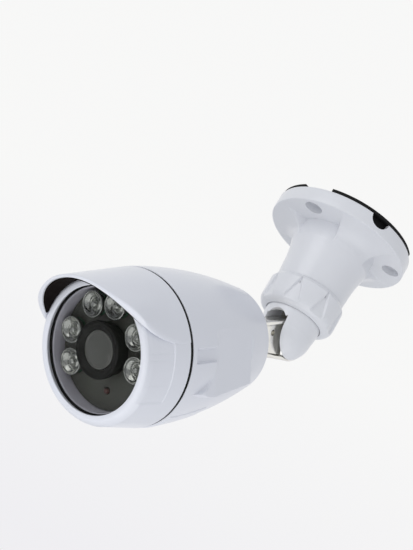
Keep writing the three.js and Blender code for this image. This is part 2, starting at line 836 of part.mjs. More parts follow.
function irBoard() {
  return tube(sleeveInner - clearance, lensRadius + 2 * clearance, irBoardBack, irBoardFace, coarseSides);
}

function lensShroud() {
  return turned([
    [shroudBore, irBoardFace + clearance],
    [shroudNeckRadius, irBoardFace + clearance],
    [shroudNeckRadius, shroudFront - shroudFlange],
    [shroudRadius, shroudFront - shroudFlange],
    [shroudRadius, shroudFront],
    [shroudRadius - shroudLand, shroudFront],
    [shroudBore, shroudFront - shroudDish],
  ], coarseSides);
}

// Front element: both faces are shallow domes with the same sag
const lensRim = shroudFront - shroudDish;
function lensGlass() {
  const domeOf = (base, steps) => {
    const points = [];
    for (let i = 0; i <= steps; i += 1) {
      const share = i / steps;
      points.push([lensRadius * share, base + lensSag * (1 - share * share)]);
    }
    return points;
  };
  const top = domeOf(lensRim, bendSteps);
  const bottom = domeOf(lensRim - lensThickness, bendSteps).reverse();
  return turned([...top, ...bottom], coarseSides);
}

const lensBarrelFront = lensRim - lensThickness - clearance;
const holderBack = sensorBoardFace + clearance;

function lensBarrel() {
  const headBack = lensBarrelFront - lensHeadLength;
  const tail = holderBack + sensorThickness + 4 * clearance;
  return turned([
    [0, tail],
    [lensBarrelRadius, tail],
    [lensBarrelRadius, headBack],
    [lensRadius, headBack],
    [lensRadius, lensBarrelFront],
    [0, lensBarrelFront],
  ], coarseSides);
}

function lensHolder() {
  const front = holderBack + holderLength;
  return tube(holderRadius, lensBarrelRadius + clearance, holderBack, front, coarseSides);
}

function photocell() {
  const foot = irBoardFace + clearance;
  const crown = maskFace + photocellHeight;
  return turned([
    [0, foot],
    [photocellRadius, foot],
    [photocellRadius, crown - photocellRadius],
    ...arc([0, crown - photocellRadius], photocellRadius, 0, Math.PI / 2, bendSteps).slice(1),
  ], smallSides);
}

const sensorBoardBack = sensorBoardFace - boardThickness;
const mainBoardFace = sensorBoardBack - mainBoardGap;
const mainBoardBack = mainBoardFace - boardThickness;
const processorFront = mainBoardBack - clearance;

function cornerPlaces() {
  return [[1, 1], [-1, 1], [-1, -1], [1, -1]].map(([x, y]) => [x * standoffReach, y * standoffReach]);
}

// The nut and washer that hold the housing's tail on the arm's stud
const nutFront = -housingLength + tailWall + nutWasherThickness + 2 * clearance;

function tailNut() {
  const front = nutFront + nutThickness;
  const bore = disc(studRadius + clearance, nutFront - overrun, front + overrun, smallSides);
  return disc(nutRadius, nutFront, front, nutSides).subtract(bore);
}

function nutWasher() {
  const front = nutFront - clearance;
  return tube(nutWasherRadius, studRadius + clearance, front - nutWasherThickness, front, smallSides);
}

function cableHeader() {
  return block(headerWidth, headerDepth, processorFront - headerHeight, processorFront)
    .translate([0, -headerDrop, 0]);
}

// Assembly
const camera = new THREE.Group();
camera.position.set(0, 0, -bodyReach);
camera.rotation.set(Math.PI, 0, rollAngle);
camera.add(
  named('rear_housing', rearHousing(), whiteShell),
  named('service_lid', serviceLid(), whiteShell),
  named('seam_gasket', seamGasket(), blackRubber),
  named('front_cap', frontCap(), whiteShell),
  named('visor_liner', visorLiner(), blackPlastic),
  named('glass_seal', glassSeal(), blackRubber),
  named('front_glass', frontGlass(), smokedGlass),
  named('inner_sleeve', innerSleeve(), greySleeve),
  named('mask_plate', maskPlate(), darkMask),
  named('ir_board', irBoard(), boardGreen),
  named('lens_shroud', lensShroud(), blackPlastic),
  named('lens_glass', lensGlass(), smokedGlass),
  named('lens_barrel', lensBarrel(), blackPlastic),
  named('lens_holder', lensHolder(), chipBlack),
  named('photocell', photocell().translate([0, -photocellReach, 0]), sensorRed),
);
const chipBack = irBoardFace + clearance / 2;
const chip = block(ledChipSide, ledChipSide, chipBack, chipBack + ledChipThickness);
const cup = ledCup().translate([0, 0, clearance / 2]);
ledPlaces().forEach(([x, y], i) => {
  camera.add(
    named(`led_cup_${i + 1}`, cup.translate([x, y, 0]), clearLens),
    named(`led_chip_${i + 1}`, chip.translate([x, y, 0]), emitter),
  );
});
camera.add(
  named('image_sensor', block(sensorSide, sensorSide, holderBack, holderBack + sensorThickness), chipBlack),
  named('sensor_board', block(boardSide, boardSide, sensorBoardBack, sensorBoardFace), boardGreen),
  named('main_board', block(boardSide, boardSide, mainBoardBack, mainBoardFace), boardGreen),
);
cornerPlaces().forEach(([x, y], i) => {
  const front = disc(standoffRadius, sensorBoardFace + clearance, irBoardBack - clearance, smallSides);
  const rear = disc(standoffRadius, mainBoardFace + clearance, sensorBoardBack - clearance, smallSides);
  camera.add(
    named(`front_standoff_${i + 1}`, front.translate([x, y, 0]), steel),
    named(`rear_standoff_${i + 1}`, rear.translate([x, y, 0]), steel),
  );
});
const processorBack = processorFront - processorThickness;
camera.add(
  named('processor', block(processorSide, processorSide, processorBack, processorFront), chipBlack),
  named('cable_header', cableHeader(), nylon),
  named('nut_washer', nutWasher(), steel),
  named('tail_nut', tailNut(), steel),
);

const tilt = new THREE.Group();
tilt.rotation.x = -tiltAngle;
tilt.add(
  named('tilt_arm', tiltArm(), chrome),
  named('pivot_pin', pivotPin(), steel),
  named('swivel_washer', swivelWasher(), blackRubber),
  camera,
);

const hanging = new THREE.Group();
hanging.position.set(0, 0, -pivotDrop);
hanging.add(
  named('base_stem', baseStem(), whiteShell),
  named('base_gasket', baseGasket(), blackRubber),
  named('lock_ring', lockRing(), whiteShell),
  named('knuckle_dome', knuckleDome(), whiteShell),
  named('friction_washer', frictionWasher(), nylon),
  named('clamp_saddle', clampSaddle(), nylon),
  tilt,
);

const securityCamera = new THREE.Group();
securityCamera.name = 'security_camera';
securityCamera.add(hanging);

export default securityCamera;
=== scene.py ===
import json
import math

import bmesh
import bpy
import numpy as np
from mathutils import Matrix


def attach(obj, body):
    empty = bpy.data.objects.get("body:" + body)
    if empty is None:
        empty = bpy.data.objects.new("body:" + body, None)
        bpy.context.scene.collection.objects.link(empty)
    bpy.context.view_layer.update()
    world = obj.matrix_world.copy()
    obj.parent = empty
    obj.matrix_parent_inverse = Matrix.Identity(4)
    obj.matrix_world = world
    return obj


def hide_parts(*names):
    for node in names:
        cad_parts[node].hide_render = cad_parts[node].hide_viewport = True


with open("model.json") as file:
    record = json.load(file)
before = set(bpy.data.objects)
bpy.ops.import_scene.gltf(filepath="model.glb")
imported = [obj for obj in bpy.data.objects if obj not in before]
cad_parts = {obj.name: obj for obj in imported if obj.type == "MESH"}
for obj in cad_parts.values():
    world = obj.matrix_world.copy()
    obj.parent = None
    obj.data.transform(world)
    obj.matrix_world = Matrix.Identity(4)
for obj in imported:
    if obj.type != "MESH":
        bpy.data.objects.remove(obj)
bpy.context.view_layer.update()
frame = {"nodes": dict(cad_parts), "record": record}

# Sizes are in millimetres and angles in radians, and a mesh is made in metres. A pair that a soft
# step takes is where the step starts and where it ends.
MM = 0.001
FULL_TURN = 2 * math.pi

# Small sizes that many pieces share: the gap between pieces that seat on each other, how far a cutter
# reaches past what it cuts, a hair's breadth, a radius that stands for none, and two edge roundings
CLEARANCE = 0.3
OVERRUN = 1.0
HAIR = 0.1
AXIS_RADIUS = 0.01
EDGE_ROUND = 0.3
FINE_ROUND = 0.2

# Rest pose
PIVOT_DROP = 69.8
TILT = math.radians(52.3)
ROLL = math.radians(6.2)
SEAM_REACH = 119.0

# Bracket base, heights up from the tilt pivot
RIM_RADIUS = 39.5
RIM_LOW = 59.5
RIM_HIGH = 67.8
RIM_WALL = 3.4
RIM_ROUND = 0.6
RIM_CORNER_START = 0.3
RIM_STEP_SHARES = (0.4, 0.8)
RIM_CHAMFER_SHARE = 0.3
STEM_BORE = 15.0
STEM_END = 14.4
SPIGOT_RADIUS = 17.4
STEM_FOOT = 26.4
STEM_FOOT_RADIUS = 19.4
STEM_RADIUS = 20.8
STEM_KNOT_SHARES = np.array([0, 0.45, 0.7, 1])
FLARE_LOW = 50.0
FLARE_RADIUS = 22.6
CAVITY_FLOOR = 62.8
SCREW_CIRCLE = 32.3
SCREW_ANGLES = [math.radians(a) for a in (-90, 30, 150)]
SCREW_BORE = 2.5
COUNTERBORE_RADIUS = 4.9
COUNTERBORE_TOP = 64.5
BOSS_RADIUS = 6.4
POCKET_WALL = 22.4
POCKET_HALF_ANGLE = math.radians(30)
POCKET_EDGE = 0.9
POCKET_EDGE_TURN = 0.06
NOTCH_ANGLE = math.radians(-31.2)
NOTCH_RADIUS = 5.6
GASKET_LOW = 68.1
GASKET_INNER = 27.0
GASKET_OUTER = 38.9
GASKET_GAP_TURN = math.radians(1)
GASKET_GAP_WIDTH = 17.5
GASKET_WEB = 28.6
SKIRT_OUTER = 35.8
SKIRT_WALL = 1.6
SKIRT_LOW = 63.2

# Lock ring, with its valleys between the grip pads
RING_TOP = 26.1
RING_MOUTH = 8.7
RING_MOUTH_RADIUS = 16.1
RING_RADIUS = 21.4
RING_SHOULDER = 13.5
RING_LIP = 1.6
RING_BEVEL = 2.2
RING_BORE = 17.7
PAD_COUNT = 8
PAD_HEIGHT = 1.3
VALLEY_HALF = 4.2
VALLEY_FOOT = 12.0
VALLEY_APEX = 24.8
VALLEY_EDGE = 0.35
VALLEY_ANGLE = math.radians(-25.6)

# Knuckle
DOME_RADIUS = 14.8
DOME_WAIST = 4.0
SKIRT_RADIUS = 15.7
SKIRT_DRAFT = 0.3
SKIRT_FOOT = 8.1
SLOT_HALF = 6.6
SLOT_HEIGHT = -0.5
SLOT_EDGE = 0.4
SLOT_EDGE_ANGLE = math.radians(40)
FLANGE_RADIUS = 17.3
FLANGE_LOW = 10.6
FLANGE_HIGH = 13.2
KNUCKLE_SPIGOT = 14.6
KNUCKLE_BORE = 12.4
KNUCKLE_TOP = 22.0
DISC_ROOM = 14.4

# Tilt arm, distances from the pivot along the arm
ARM_HALF = 5.9
ARM_DISC = 14.1
ARM_LENGTH = 37.4
ARM_TIP = 34.2
ARM_ROOT = 4.6
ARM_LOWER = 13.4
ARM_UPPER = 8.6
ARM_TIP_HALF = 8.2
ARM_ROUND = 0.7
ARM_RIM = 2.2
ARM_POCKET_START = 7.5
ARM_POCKET_DEPTH = 1.6
ARM_POCKET_SOFT = 0.4
ARM_POCKET_END = 0.6
ARM_POCKET_FADE = 2.4
ARM_FILLET = 2.0
ARM_FILLET_REACH = 3.0
ARM_FILLET_SHARE = 0.6
ARM_EDGE_SHARE = 0.1
ARM_HOLE = 16.8
ARM_HOLE_RISE = 2.0
ARM_HOLE_RADIUS = 1.6
ARM_HOLE_REACH = 8.0
ARM_FLANGE = 12.0
ARM_FLANGE_ROUNDS = (0.4, 0.5)
STUD_RADIUS = 4.0
STUD_END = 57.6
SWIVEL_SEAL = 1.0

# Seam, and the rear housing with distances backwards from it. Spans are (from degrees, to degrees,
# how many columns).
SEAM_RADIUS = 37.5
SEAM_HALF = 0.9
SEAM_EDGE = 0.25
SEAM_EDGE_STEPS = [(0.3, 0), (0.07, 0.08)]
SEAM_RING_INSET = 0.35
HOUSING_LENGTH = 71.0
TAIL_RADIUS = 26.2
TAIL_ROUND = 2.6
HOUSING_WALL = 3.2
TAIL_WALL = 3.6
BOSS_LENGTH = 9.0
BOSS_ROOT = 15.0
BOSS_TIP = 13.0
BOSS_FILLET = [(1.2, 0), (0.3, 0.3), (-0.2, 1.2)]
BOSS_CORNER = [(0.1, -0.6), (-0.4, 0)]
STUD_HOLE = 4.3
WALL_DRAW_IN = 1.9
WALL_RAMP_END = 21.0
FLANK_WIDTHS = [(5.1, 32.4), (13.0, 35.3), (19.4, 35.3), (51.0, 31.1)]
FLANK_START = 19.4
FLANK_END = 51.0
FLANK_TOE = 5.1
FLANK_BEND = -5.0
FLANK_DROPS = (-21.3, -17.8)
FLANK_TOE_LIFT = 2.4
FLANK_EDGE = (-0.5, 0.6)
FLANK_END_EDGE = (-1.0, 0.6)
FLANK_DENSE_END = 21.0
HOUSING_SPANS = [(83, 99, 60), (99, 121, 40), (121, 128, 50)]
GROOVE_FRONT = (3.45, 3.85)
GROOVE_TOP = (2.8, 1.4)
GROOVE_LOW = (-4.5, -4.0)
GROOVE_FLOOR = 35.0

# Lid on the underside
LID_START = 3.4
LID_LENGTH = 26.0
LID_HALF = 22.5
LID_RISE = 0.3
LID_DEPTH = 1.6
LID_ROUND = 0.7

# Front cap with distances forwards from the seam, its lip as (radius, ahead, rounding), and two grip
# panels a side
CAP_TAPER = 2.9
LIP_START = 22.4
CAP_DEPTH = 26.0
LIP_RADIUS = 32.65
LIP_OPENING = 29.3
LIP_EDGE = 0.4
LIP_ROOT_ROUND = 0.7
LIP_CORNERS = [(33.15, 24.8, 0.9), (31.75, 26.0, 0.9), (29.3, 25.5, 0.4)]
LIP_SHOULDER = 25.0
WINDOW_BORE = 30.0
SEAL_LEDGE = 23.2
CAP_BORE = 31.0
CAP_SKIRT = 9.0
CAP_THREAD = 33.7
CAP_SKIRT_INNER = 31.5
CAP_SPANS = [(84, 96, 40), (108, 116, 30), (124, 134, 30)]
SKIN_SLACK = 0.5
GRIP_START = 10.3
GRIP_EDGE = 0.6
GRIP_SOFT = 0.4
GRIP_DEPTH = 1.0
GRIP_TOP = (20.0, 18.0)
GRIP_LOW = -13.2
GRIP_FADE = (5.0, -13.0)
GRIP_FADE_SHARE = 0.4
SECOND_DEPTH = 0.45
SECOND_LOW = -21.3
SECOND_SOFT = 0.6
GRIP_LINES = (1.5, -1.5)
GRIP_LINE_DEPTH = 0.12
GRIP_LINE_EDGE = (0.5, 0.1)

# Hood and visor, the side edge as (ahead, up)
HOOD_REACH = 42.0
VISOR_REACH = 41.5
VISOR_SWEEPS = (15.7, 16.2)
HOOD_WALL = 2.2
HOOD_TAPER = 2.9
HOOD_EDGE = [(4.2, 5.0), (9.8, 5.9), (15.2, 7.2), (19.8, 9.6), (24.6, 12.4), (26.9, 15.0)]
HOOD_BULGE = 1.5
HOOD_BULGE_TURN = math.radians(56)
HOOD_BULGE_SPREAD = math.radians(14)
HOOD_BULGE_GROWS = (8.0, 30.0)
HOOD_CROWDING = 2.2
CREASE_ROUND = 1.0
CREASE_EXTRA = 1.6
CREASE_GROWS = (2.0, 24.0)
CREASE_ENDS = (28.0, 25.0)
VISOR_ROUND = 0.9
VISOR_STEP = (24.0, 29.0)
VISOR_INNER = 33.1
LINER_WALL = 0.8
LINER_INSET = 1.4
LINER_TURN = math.radians(64)
LINER_FOOT_SHARE = 0.97
LINER_ROUND = 0.4

# Window, and what is behind it, forwards from the seam
GLASS_RADIUS = 29.7
GLASS_FRONT = 24.7
SEAL_OPENING = 28.9
SEAL_FRONT = 22.9
SEAL_BACK = 22.4
SEAL_ROUND = 0.15
SLEEVE_RADIUS = 30.5
SLEEVE_FRONT = 22.1
SLEEVE_INNER = 28.5
SLEEVE_LEDGE = 26.5
SLEEVE_BACK = 7.6
LAMP_BOARD_BACK = 10.1
LAMP_BOARD_FACE = 11.7
MASK_FACE = 15.0
MASK_WALL = 1.4
MASK_HOLE_SHARE = 0.9
LAMP_CIRCLE = 21.3
LAMP_RADIUS = 6.3
LAMP_FACE = 19.2
LAMP_FOOT = 13.0
LAMP_FOOT_RADIUS = 2.6
LAMP_RIM = 0.35
LAMP_LIP = 0.8
LAMP_BOWL = 2.6
LAMP_BOWL_POWER = 0.8
LAMP_DOME = 2.5
LAMP_DOME_RADIUS = 1.9
LAMP_GROOVE = 0.5
LAMP_GROOVE_RADIUS = 3.2
LAMP_GROOVE_WIDTH = 0.5
LAMP_ANGLES = [math.radians(a) for a in (-110.5, -70, -19, 19, 70, 110.5)]
SHROUD_RADIUS = 13.4
SHROUD_NECK = 12.0
SHROUD_FRONT = 22.9
SHROUD_FLANGE = 19.9
SHROUD_BORE = 9.2
SHROUD_ROUND = 0.8
SHROUD_LAND = 1.9
LENS_RADIUS = 8.9
LENS_RIM = 21.5
LENS_BACK = 19.8
LENS_SAG = 1.0
LENS_LIP = 0.25
LENS_LIP_RAMP = (7.8, 8.1)
SENSOR_REACH = 19.1
SENSOR_RADIUS = 1.5

# Camera that took the photograph
PHOTO_HEIGHT = 550
LENS_PIXELS = 1400
FILM_WIDTH = 36.0
CLIP_NEAR, CLIP_FAR = 0.01, 50
CAMERA_PLACE = (426.58, -541.62, -337.07)
CAMERA_RIGHT = (0.75822, 0.43334, 0.48715)
CAMERA_UP = (-0.17458, -0.58495, 0.79206)
CAMERA_AHEAD = (-0.62818, 0.68561, 0.36787)

# Floor and light, the floor's reach in metres
FLOOR_DROP = 620.0
FLOOR_REACH = 6.0
FLOOR_COLOUR = (0.88, 0.88, 0.88)
FLOOR_ROUGH = 0.7
FLOOR_GLOSS = 0.1
SEEN_HEIGHTS = (0.16, 0.36)
SEEN_LOW = (0.865, 0.86, 0.885)
SEEN_HIGH = (0.935, 0.935, 0.93)
SOFT_COLOUR = (0.80, 0.82, 0.86)
SOFT_STRENGTH = 0.72
LIT_PLACE = (0, -60, -100)

# Skins, the grain's height in millimetres
GRAIN_HEIGHT = 0.2
GRAIN_WIDE_SHARE = 0.22
GRAIN_COARSE_SHARE = 0.5
TONE_RANGE = (0.35, 0.65)


def turn_x(angle):
    """Matrix of a turn about X by angle."""
    c, s = math.cos(angle), math.sin(angle)
    return np.array([[1, 0, 0], [0, c, -s], [0, s, c]])


def turn_z(angle):
    """Matrix of a turn about Z by angle."""
    c, s = math.cos(angle), math.sin(angle)
    return np.array([[c, -s, 0], [s, c, 0], [0, 0, 1]])


# Where each assembly's own coordinates lie in the row frame: a turn, then a shift
PIVOT = np.array([0, 0, -PIVOT_DROP])
HANGING = (np.eye(3), PIVOT)
TILTED = (turn_x(-TILT), PIVOT)
HEAD = (
    turn_x(-TILT) @ turn_x(math.pi) @ turn_z(ROLL),
    turn_x(-TILT) @ np.array([0, 0, -SEAM_REACH]) + PIVOT,
)


def softly(start, end, x):
    """0 before start, 1 after end, and 3 t^2 - 2 t^3 between, with t the share of the way."""
    t = np.clip((x - start) / (end - start), 0, 1)
    return t * t * (3 - 2 * t)


def runs(*stretches):
    """Samples of several stretches (from, to, count) in one row, with shared ends given once."""
    rows = [np.linspace(a, b, n, endpoint=False) for a, b, n in stretches]
    return np.concatenate([*rows, [stretches[-1][1]]])


def rounded(corners, spacing=1.0, steps=5):
    """Closed profile through corners (radius, height, rounding). Each corner becomes a parabola that
    leaves the two sides at the rounding's distance from it, and the sides between are cut evenly."""
    spots = np.array([c[:2] for c in corners], float)
    cuts = np.array([c[2] for c in corners], float)
    count = len(corners)
    line = []
    for i in range(count):
        before, here, after = spots[i - 1], spots[i], spots[(i + 1) % count]
        enter = here + (before - here) / np.linalg.norm(before - here) * cuts[i]
        leave = here + (after - here) / np.linalg.norm(after - here) * cuts[i]
        if cuts[i] > 0:
            t = np.linspace(0, 1, steps)[:, None]
            line.append((1 - t) ** 2 * enter + 2 * t * (1 - t) * here + t ** 2 * leave)
        else:
            line.append(here[None])
        back = (here - after) / np.linalg.norm(here - after)
        target = after + back * cuts[(i + 1) % count]
        pieces = max(1, int(np.linalg.norm(target - leave) / spacing))
        t = np.linspace(0, 1, pieces + 1)[1:-1, None]
        line.append(leave + (target - leave) * t)
    line = np.concatenate(line)
    keep = np.linalg.norm(line - np.roll(line, -1, 0), axis=1) > 1e-6
    return line[keep]


ALL_FINE = (FINE_ROUND, FINE_ROUND, FINE_ROUND, FINE_ROUND)
OUTER_FINE = (0, FINE_ROUND, FINE_ROUND, 0)


def box_section(inner, outer, low, high, roundings):
    """Corners of a rectangular section, from the inner low one outwards and up, with a rounding each."""
    corners = [(inner, low), (outer, low), (outer, high), (inner, high)]
    return [(*corner, rounding) for corner, rounding in zip(corners, roundings)]


def swept(profile, angles, centre=(0, 0)):
    """A profile (radius, height) turned round the height axis: (r cos a, r sin a, h), past a centre."""
    r, h = profile[:, 0], profile[:, 1]
    a = angles[:, None]
    x = centre[0] + r * np.cos(a)
    y = centre[1] + r * np.sin(a)
    return np.stack([x, y, np.broadcast_to(h, x.shape)], -1)


def all_round(count):
    """Angles of a full turn, the last one left out."""
    return np.arange(count) * FULL_TURN / count


def turned(corners, count=128, centre=(0, 0), spacing=1.0):
    """A closed solid of revolution from the corners of its section."""
    return swept(rounded(corners, spacing), all_round(count), centre), True, True


def rod(radius, low, high, count=64, centre=(0, 0)):
    """A closed cylinder: its profile starts and ends on the axis."""
    line = np.array([(0, low), (radius, low), (radius, high), (0, high)], float)
    return swept(line, all_round(count), centre), True, False


def grid_faces(shape, wrap_rows, wrap_columns):
    """Quads of a grid of points, as four index numbers each."""
    rows, columns = shape
    i = np.arange(rows if wrap_rows else rows - 1)
    j = np.arange(columns if wrap_columns else columns - 1)
    i, j = np.meshgrid(i, j, indexing="ij")
    below, right = (i + 1) % rows, (j + 1) % columns
    quads = [i * columns + j, below * columns + j, below * columns + right, i * columns + right]
    return np.stack(quads, -1).reshape(-1, 4)


def volume(points, quads):
    """Signed volume inside quads: a sixth of the sum of a . (b x c) over their triangles."""
    a, b, c, d = (points[quads[:, k]] for k in range(4))
    return (np.einsum("ij,ij->i", a, np.cross(b, c)) + np.einsum("ij,ij->i", a, np.cross(c, d))).sum()


def mesh_of(name, surfaces, place):
    """A mesh from grids (points, wraps along rows, wraps along columns) in an assembly's coordinates.
    A closed grid whose signed volume is negative is turned the right way out."""
    turn, shift = place
    places, faces, total = [], [], 0
    for points, wrap_rows, wrap_columns in surfaces:
        quads = grid_faces(points.shape[:2], wrap_rows, wrap_columns)
        flat = points.reshape(-1, 3)
        if volume(flat - flat.mean(0), quads) < 0:
            quads = quads[:, ::-1]
        places.append(flat @ turn.T + shift)
        faces.append(quads + total)
        total += len(flat)
    mesh = bpy.data.meshes.new(name)
    mesh.from_pydata((np.concatenate(places) * MM).tolist(), [], np.concatenate(faces).tolist())
    weld(mesh)
    return mesh


def weld(mesh):
    """Joins doubled points, so that seams and poles are closed."""
    work = bmesh.new()
    work.from_mesh(mesh)
    bmesh.ops.remove_doubles(work, verts=work.verts, dist=2e-7)
    bmesh.ops.dissolve_degenerate(work, edges=work.edges, dist=1e-8)
    work.to_mesh(mesh)
    work.free()


def carve(piece, cutters):
    """Cuts closed surfaces out of a piece, one boolean each, and keeps the result as its mesh."""
    for k, (surfaces, place) in enumerate(cutters):
        tool = bpy.data.objects.new("cutter", mesh_of("cutter", surfaces, place))
        bpy.context.scene.collection.objects.link(tool)
        cut = piece.modifiers.new(f"cut_{k}", "BOOLEAN")
        cut.operation = "DIFFERENCE"
        cut.solver = "EXACT"
        cut.object = tool
        settled = piece.evaluated_get(bpy.context.evaluated_depsgraph_get())
        result = bpy.data.meshes.new_from_object(settled)
        piece.modifiers.clear()
        old = piece.data
        piece.data = result
        bpy.data.meshes.remove(old)
        bpy.data.objects.remove(tool)


def add_piece(name, surfaces, place, body, slot, replaces=(), cutters=(), crease=38, finish=None):
    """One named piece: its mesh, its cuts, the body that it rides on, and its finish, which is the
    slot's own where none is given."""
    piece = bpy.data.objects.new(name, mesh_of(name, surfaces, place))
    bpy.context.scene.collection.objects.link(piece)
    carve(piece, cutters)
    mesh = piece.data
    mesh.name = name
    mesh.shade_smooth()
    mesh.set_sharp_from_angle(angle=math.radians(crease))
    mesh.materials.clear()
    mesh.materials.append(finish or SLOT_FINISH[slot])
    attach(piece, body)
    if replaces:
        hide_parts(*replaces)
    return piece


def head_piece(name, surfaces, slot, replaces=(), **options):
    """A piece of the head."""
    return add_piece(name, surfaces, HEAD, "camera", slot, replaces, **options)


# Shader node groups, each built once

def group_with(name, inputs, outputs):
    """An empty shader node group with its inputs and outputs, each a (name, type)."""
    group = bpy.data.node_groups.new(name, "ShaderNodeTree")
    for label, kind in inputs:
        group.interface.new_socket(label, in_out="INPUT", socket_type=kind)
    for label, kind in outputs:
        group.interface.new_socket(label, in_out="OUTPUT", socket_type=kind)
    return group, group.nodes.new("NodeGroupInput"), group.nodes.new("NodeGroupOutput")


def node(tree, kind, links=(), **settings):
    """A node with its settings, and links given as (from socket, to input name or number)."""
    made = tree.nodes.new(kind)
    for label, value in settings.items():
        setattr(made, label, value)
    for source, target in links:
        tree.links.new(source, made.inputs[target])
    return made


def grain_group():
    """Fine unevenness of a moulded, painted or cast skin: a value from two sizes of noise."""
    group, inside, outside = group_with(
        "skin_grain",
        [("Vector", "NodeSocketVector"), ("Size", "NodeSocketFloat"),
         ("Coarse Share", "NodeSocketFloat")],
        [("Height", "NodeSocketFloat")],
    )
    fine = node(group, "ShaderNodeTexNoise", [(inside.outputs[0], "Vector"), (inside.outputs[1], "Scale")])
    fine.inputs["Detail"].default_value = 3
    wide_scale = node(group, "ShaderNodeMath", [(inside.outputs[1], 0)], operation="MULTIPLY")
    wide_scale.inputs[1].default_value = GRAIN_WIDE_SHARE
    wide_links = [(inside.outputs[0], "Vector"), (wide_scale.outputs[0], "Scale")]
    wide = node(group, "ShaderNodeTexNoise", wide_links)
    wide.inputs["Detail"].default_value = 2
    mix_links = [(inside.outputs[2], "Factor"), (fine.outputs[0], 2), (wide.outputs[0], 3)]
    mix = node(group, "ShaderNodeMix", mix_links)
    group.links.new(mix.outputs[0], outside.inputs[0])
    return group


def tone_group():
    """Slow change of tone over a skin: mixes two colours by a wide noise."""
    group, inside, outside = group_with(
        "skin_tone",
        [("Vector", "NodeSocketVector"), ("Size", "NodeSocketFloat"),
         ("Colour", "NodeSocketColor"), ("Second", "NodeSocketColor")],
        [("Colour", "NodeSocketColor"), ("Mask", "NodeSocketFloat")],
    )
    wide = node(group, "ShaderNodeTexNoise", [(inside.outputs[0], "Vector"), (inside.outputs[1], "Scale")])
    wide.inputs["Detail"].default_value = 4
    mask = node(group, "ShaderNodeMapRange", [(wide.outputs[0], "Value")])
    mask.inputs["From Min"].default_value = TONE_RANGE[0]
    mask.inputs["From Max"].default_value = TONE_RANGE[1]
    mix = node(group, "ShaderNodeMix", [(mask.outputs[0], "Factor")], data_type="RGBA")
    group.links.new(inside.outputs[2], mix.inputs[6])
    group.links.new(inside.outputs[3], mix.inputs[7])
    group.links.new(mix.outputs[2], outside.inputs[0])
    group.links.new(mask.outputs[0], outside.inputs[1])
    return group


SKIN_GRAIN = grain_group()
SKIN_TONE = tone_group()


def skin(name, colour, second, rough, metal=0.0, grain=500.0, bump=0.05, tone=30.0, rough_spread=0.05,
         **constants):
    """A finish: tone between two colours, roughness that follows the tone, and a grain bump.
    The constants go straight on the shader's own sockets."""
    material = bpy.data.materials.new(name)
    material.use_nodes = True
    tree = material.node_tree
    shader = tree.nodes["Principled BSDF"]
    where = tree.nodes.new("ShaderNodeTexCoord")
    tones = node(tree, "ShaderNodeGroup", node_tree=SKIN_TONE)
    tree.links.new(where.outputs["Object"], tones.inputs[0])
    tones.inputs[1].default_value = tone
    tones.inputs[2].default_value = (*colour, 1)
    tones.inputs[3].default_value = (*second, 1)
    tree.links.new(tones.outputs[0], shader.inputs["Base Color"])
    spread = node(tree, "ShaderNodeMapRange", [(tones.outputs[1], "Value")])
    spread.inputs["To Min"].default_value = rough - rough_spread / 2
    spread.inputs["To Max"].default_value = rough + rough_spread / 2
    tree.links.new(spread.outputs[0], shader.inputs["Roughness"])
    grains = node(tree, "ShaderNodeGroup", node_tree=SKIN_GRAIN)
    tree.links.new(where.outputs["Object"], grains.inputs[0])
    grains.inputs[1].default_value = grain
    grains.inputs[2].default_value = GRAIN_COARSE_SHARE
    lift = node(tree, "ShaderNodeBump", [(grains.outputs[0], "Height")])
    lift.inputs["Strength"].default_value = bump
    lift.inputs["Distance"].default_value = GRAIN_HEIGHT * MM
    tree.links.new(lift.outputs[0], shader.inputs["Normal"])
    shader.inputs["Metallic"].default_value = metal
    for label, value in constants.items():
        shader.inputs[label.replace("_", " ").title().replace("Ior", "IOR")].default_value = value
    return material


white_shell = skin(
    "white_shell", (0.80, 0.815, 0.87), (0.785, 0.80, 0.858), rough=0.30, grain=900, bump=0.04, tone=18,
    coat_weight=0.25, coat_roughness=0.12,
)
white_base = skin(
    "white_base", (0.83, 0.84, 0.87), (0.815, 0.825, 0.86), rough=0.30, grain=900, bump=0.04, tone=18,
    coat_weight=0.2, coat_roughness=0.15,
)
black_rubber = skin(
    "black_rubber", (0.004, 0.004, 0.004), (0.006, 0.006, 0.006), rough=0.7, grain=1500, bump=0.3,
    specular_ior_level=0.2,
)
visor_black = skin(
    "visor_black", (0.006, 0.004, 0.004), (0.009, 0.006, 0.005), rough=0.85, grain=1200, bump=0.25,
    specular_ior_level=0.08,
)
shroud_black = skin(
    "shroud_black", (0.004, 0.004, 0.003), (0.006, 0.006, 0.005), rough=0.45, grain=1500, bump=0.1,
    specular_ior_level=0.2,
)
chrome = skin(
    "chrome", (0.84, 0.83, 0.79), (0.79, 0.78, 0.74), rough=0.18, metal=1.0, grain=350, bump=0.12, tone=120,
    rough_spread=0.08,
)
steel = skin("steel", (0.55, 0.55, 0.56), (0.5, 0.5, 0.51), rough=0.35, metal=1.0, grain=700, bump=0.1)
nylon = skin("nylon", (0.72, 0.71, 0.66), (0.68, 0.67, 0.62), rough=0.5, grain=800, bump=0.1)
grey_sleeve = skin("grey_sleeve", (0.60, 0.59, 0.65), (0.56, 0.55, 0.61), rough=0.4, grain=900)
dark_mask = skin(
    "dark_mask", (0.066, 0.069, 0.056), (0.078, 0.080, 0.066), rough=0.42, grain=700, bump=0.08, tone=60,
)
circuit_board = skin(
    "circuit_board", (0.03, 0.16, 0.07), (0.025, 0.13, 0.06), rough=0.45, grain=900, bump=0.1,
)
chip_black = skin(
    "chip_black", (0.02, 0.02, 0.022), (0.026, 0.026, 0.028), rough=0.5, grain=1500, bump=0.2,
)
lamp_chip = skin("lamp_chip", (0.7, 0.62, 0.35), (0.6, 0.52, 0.3), rough=0.4, grain=900, bump=0.1)
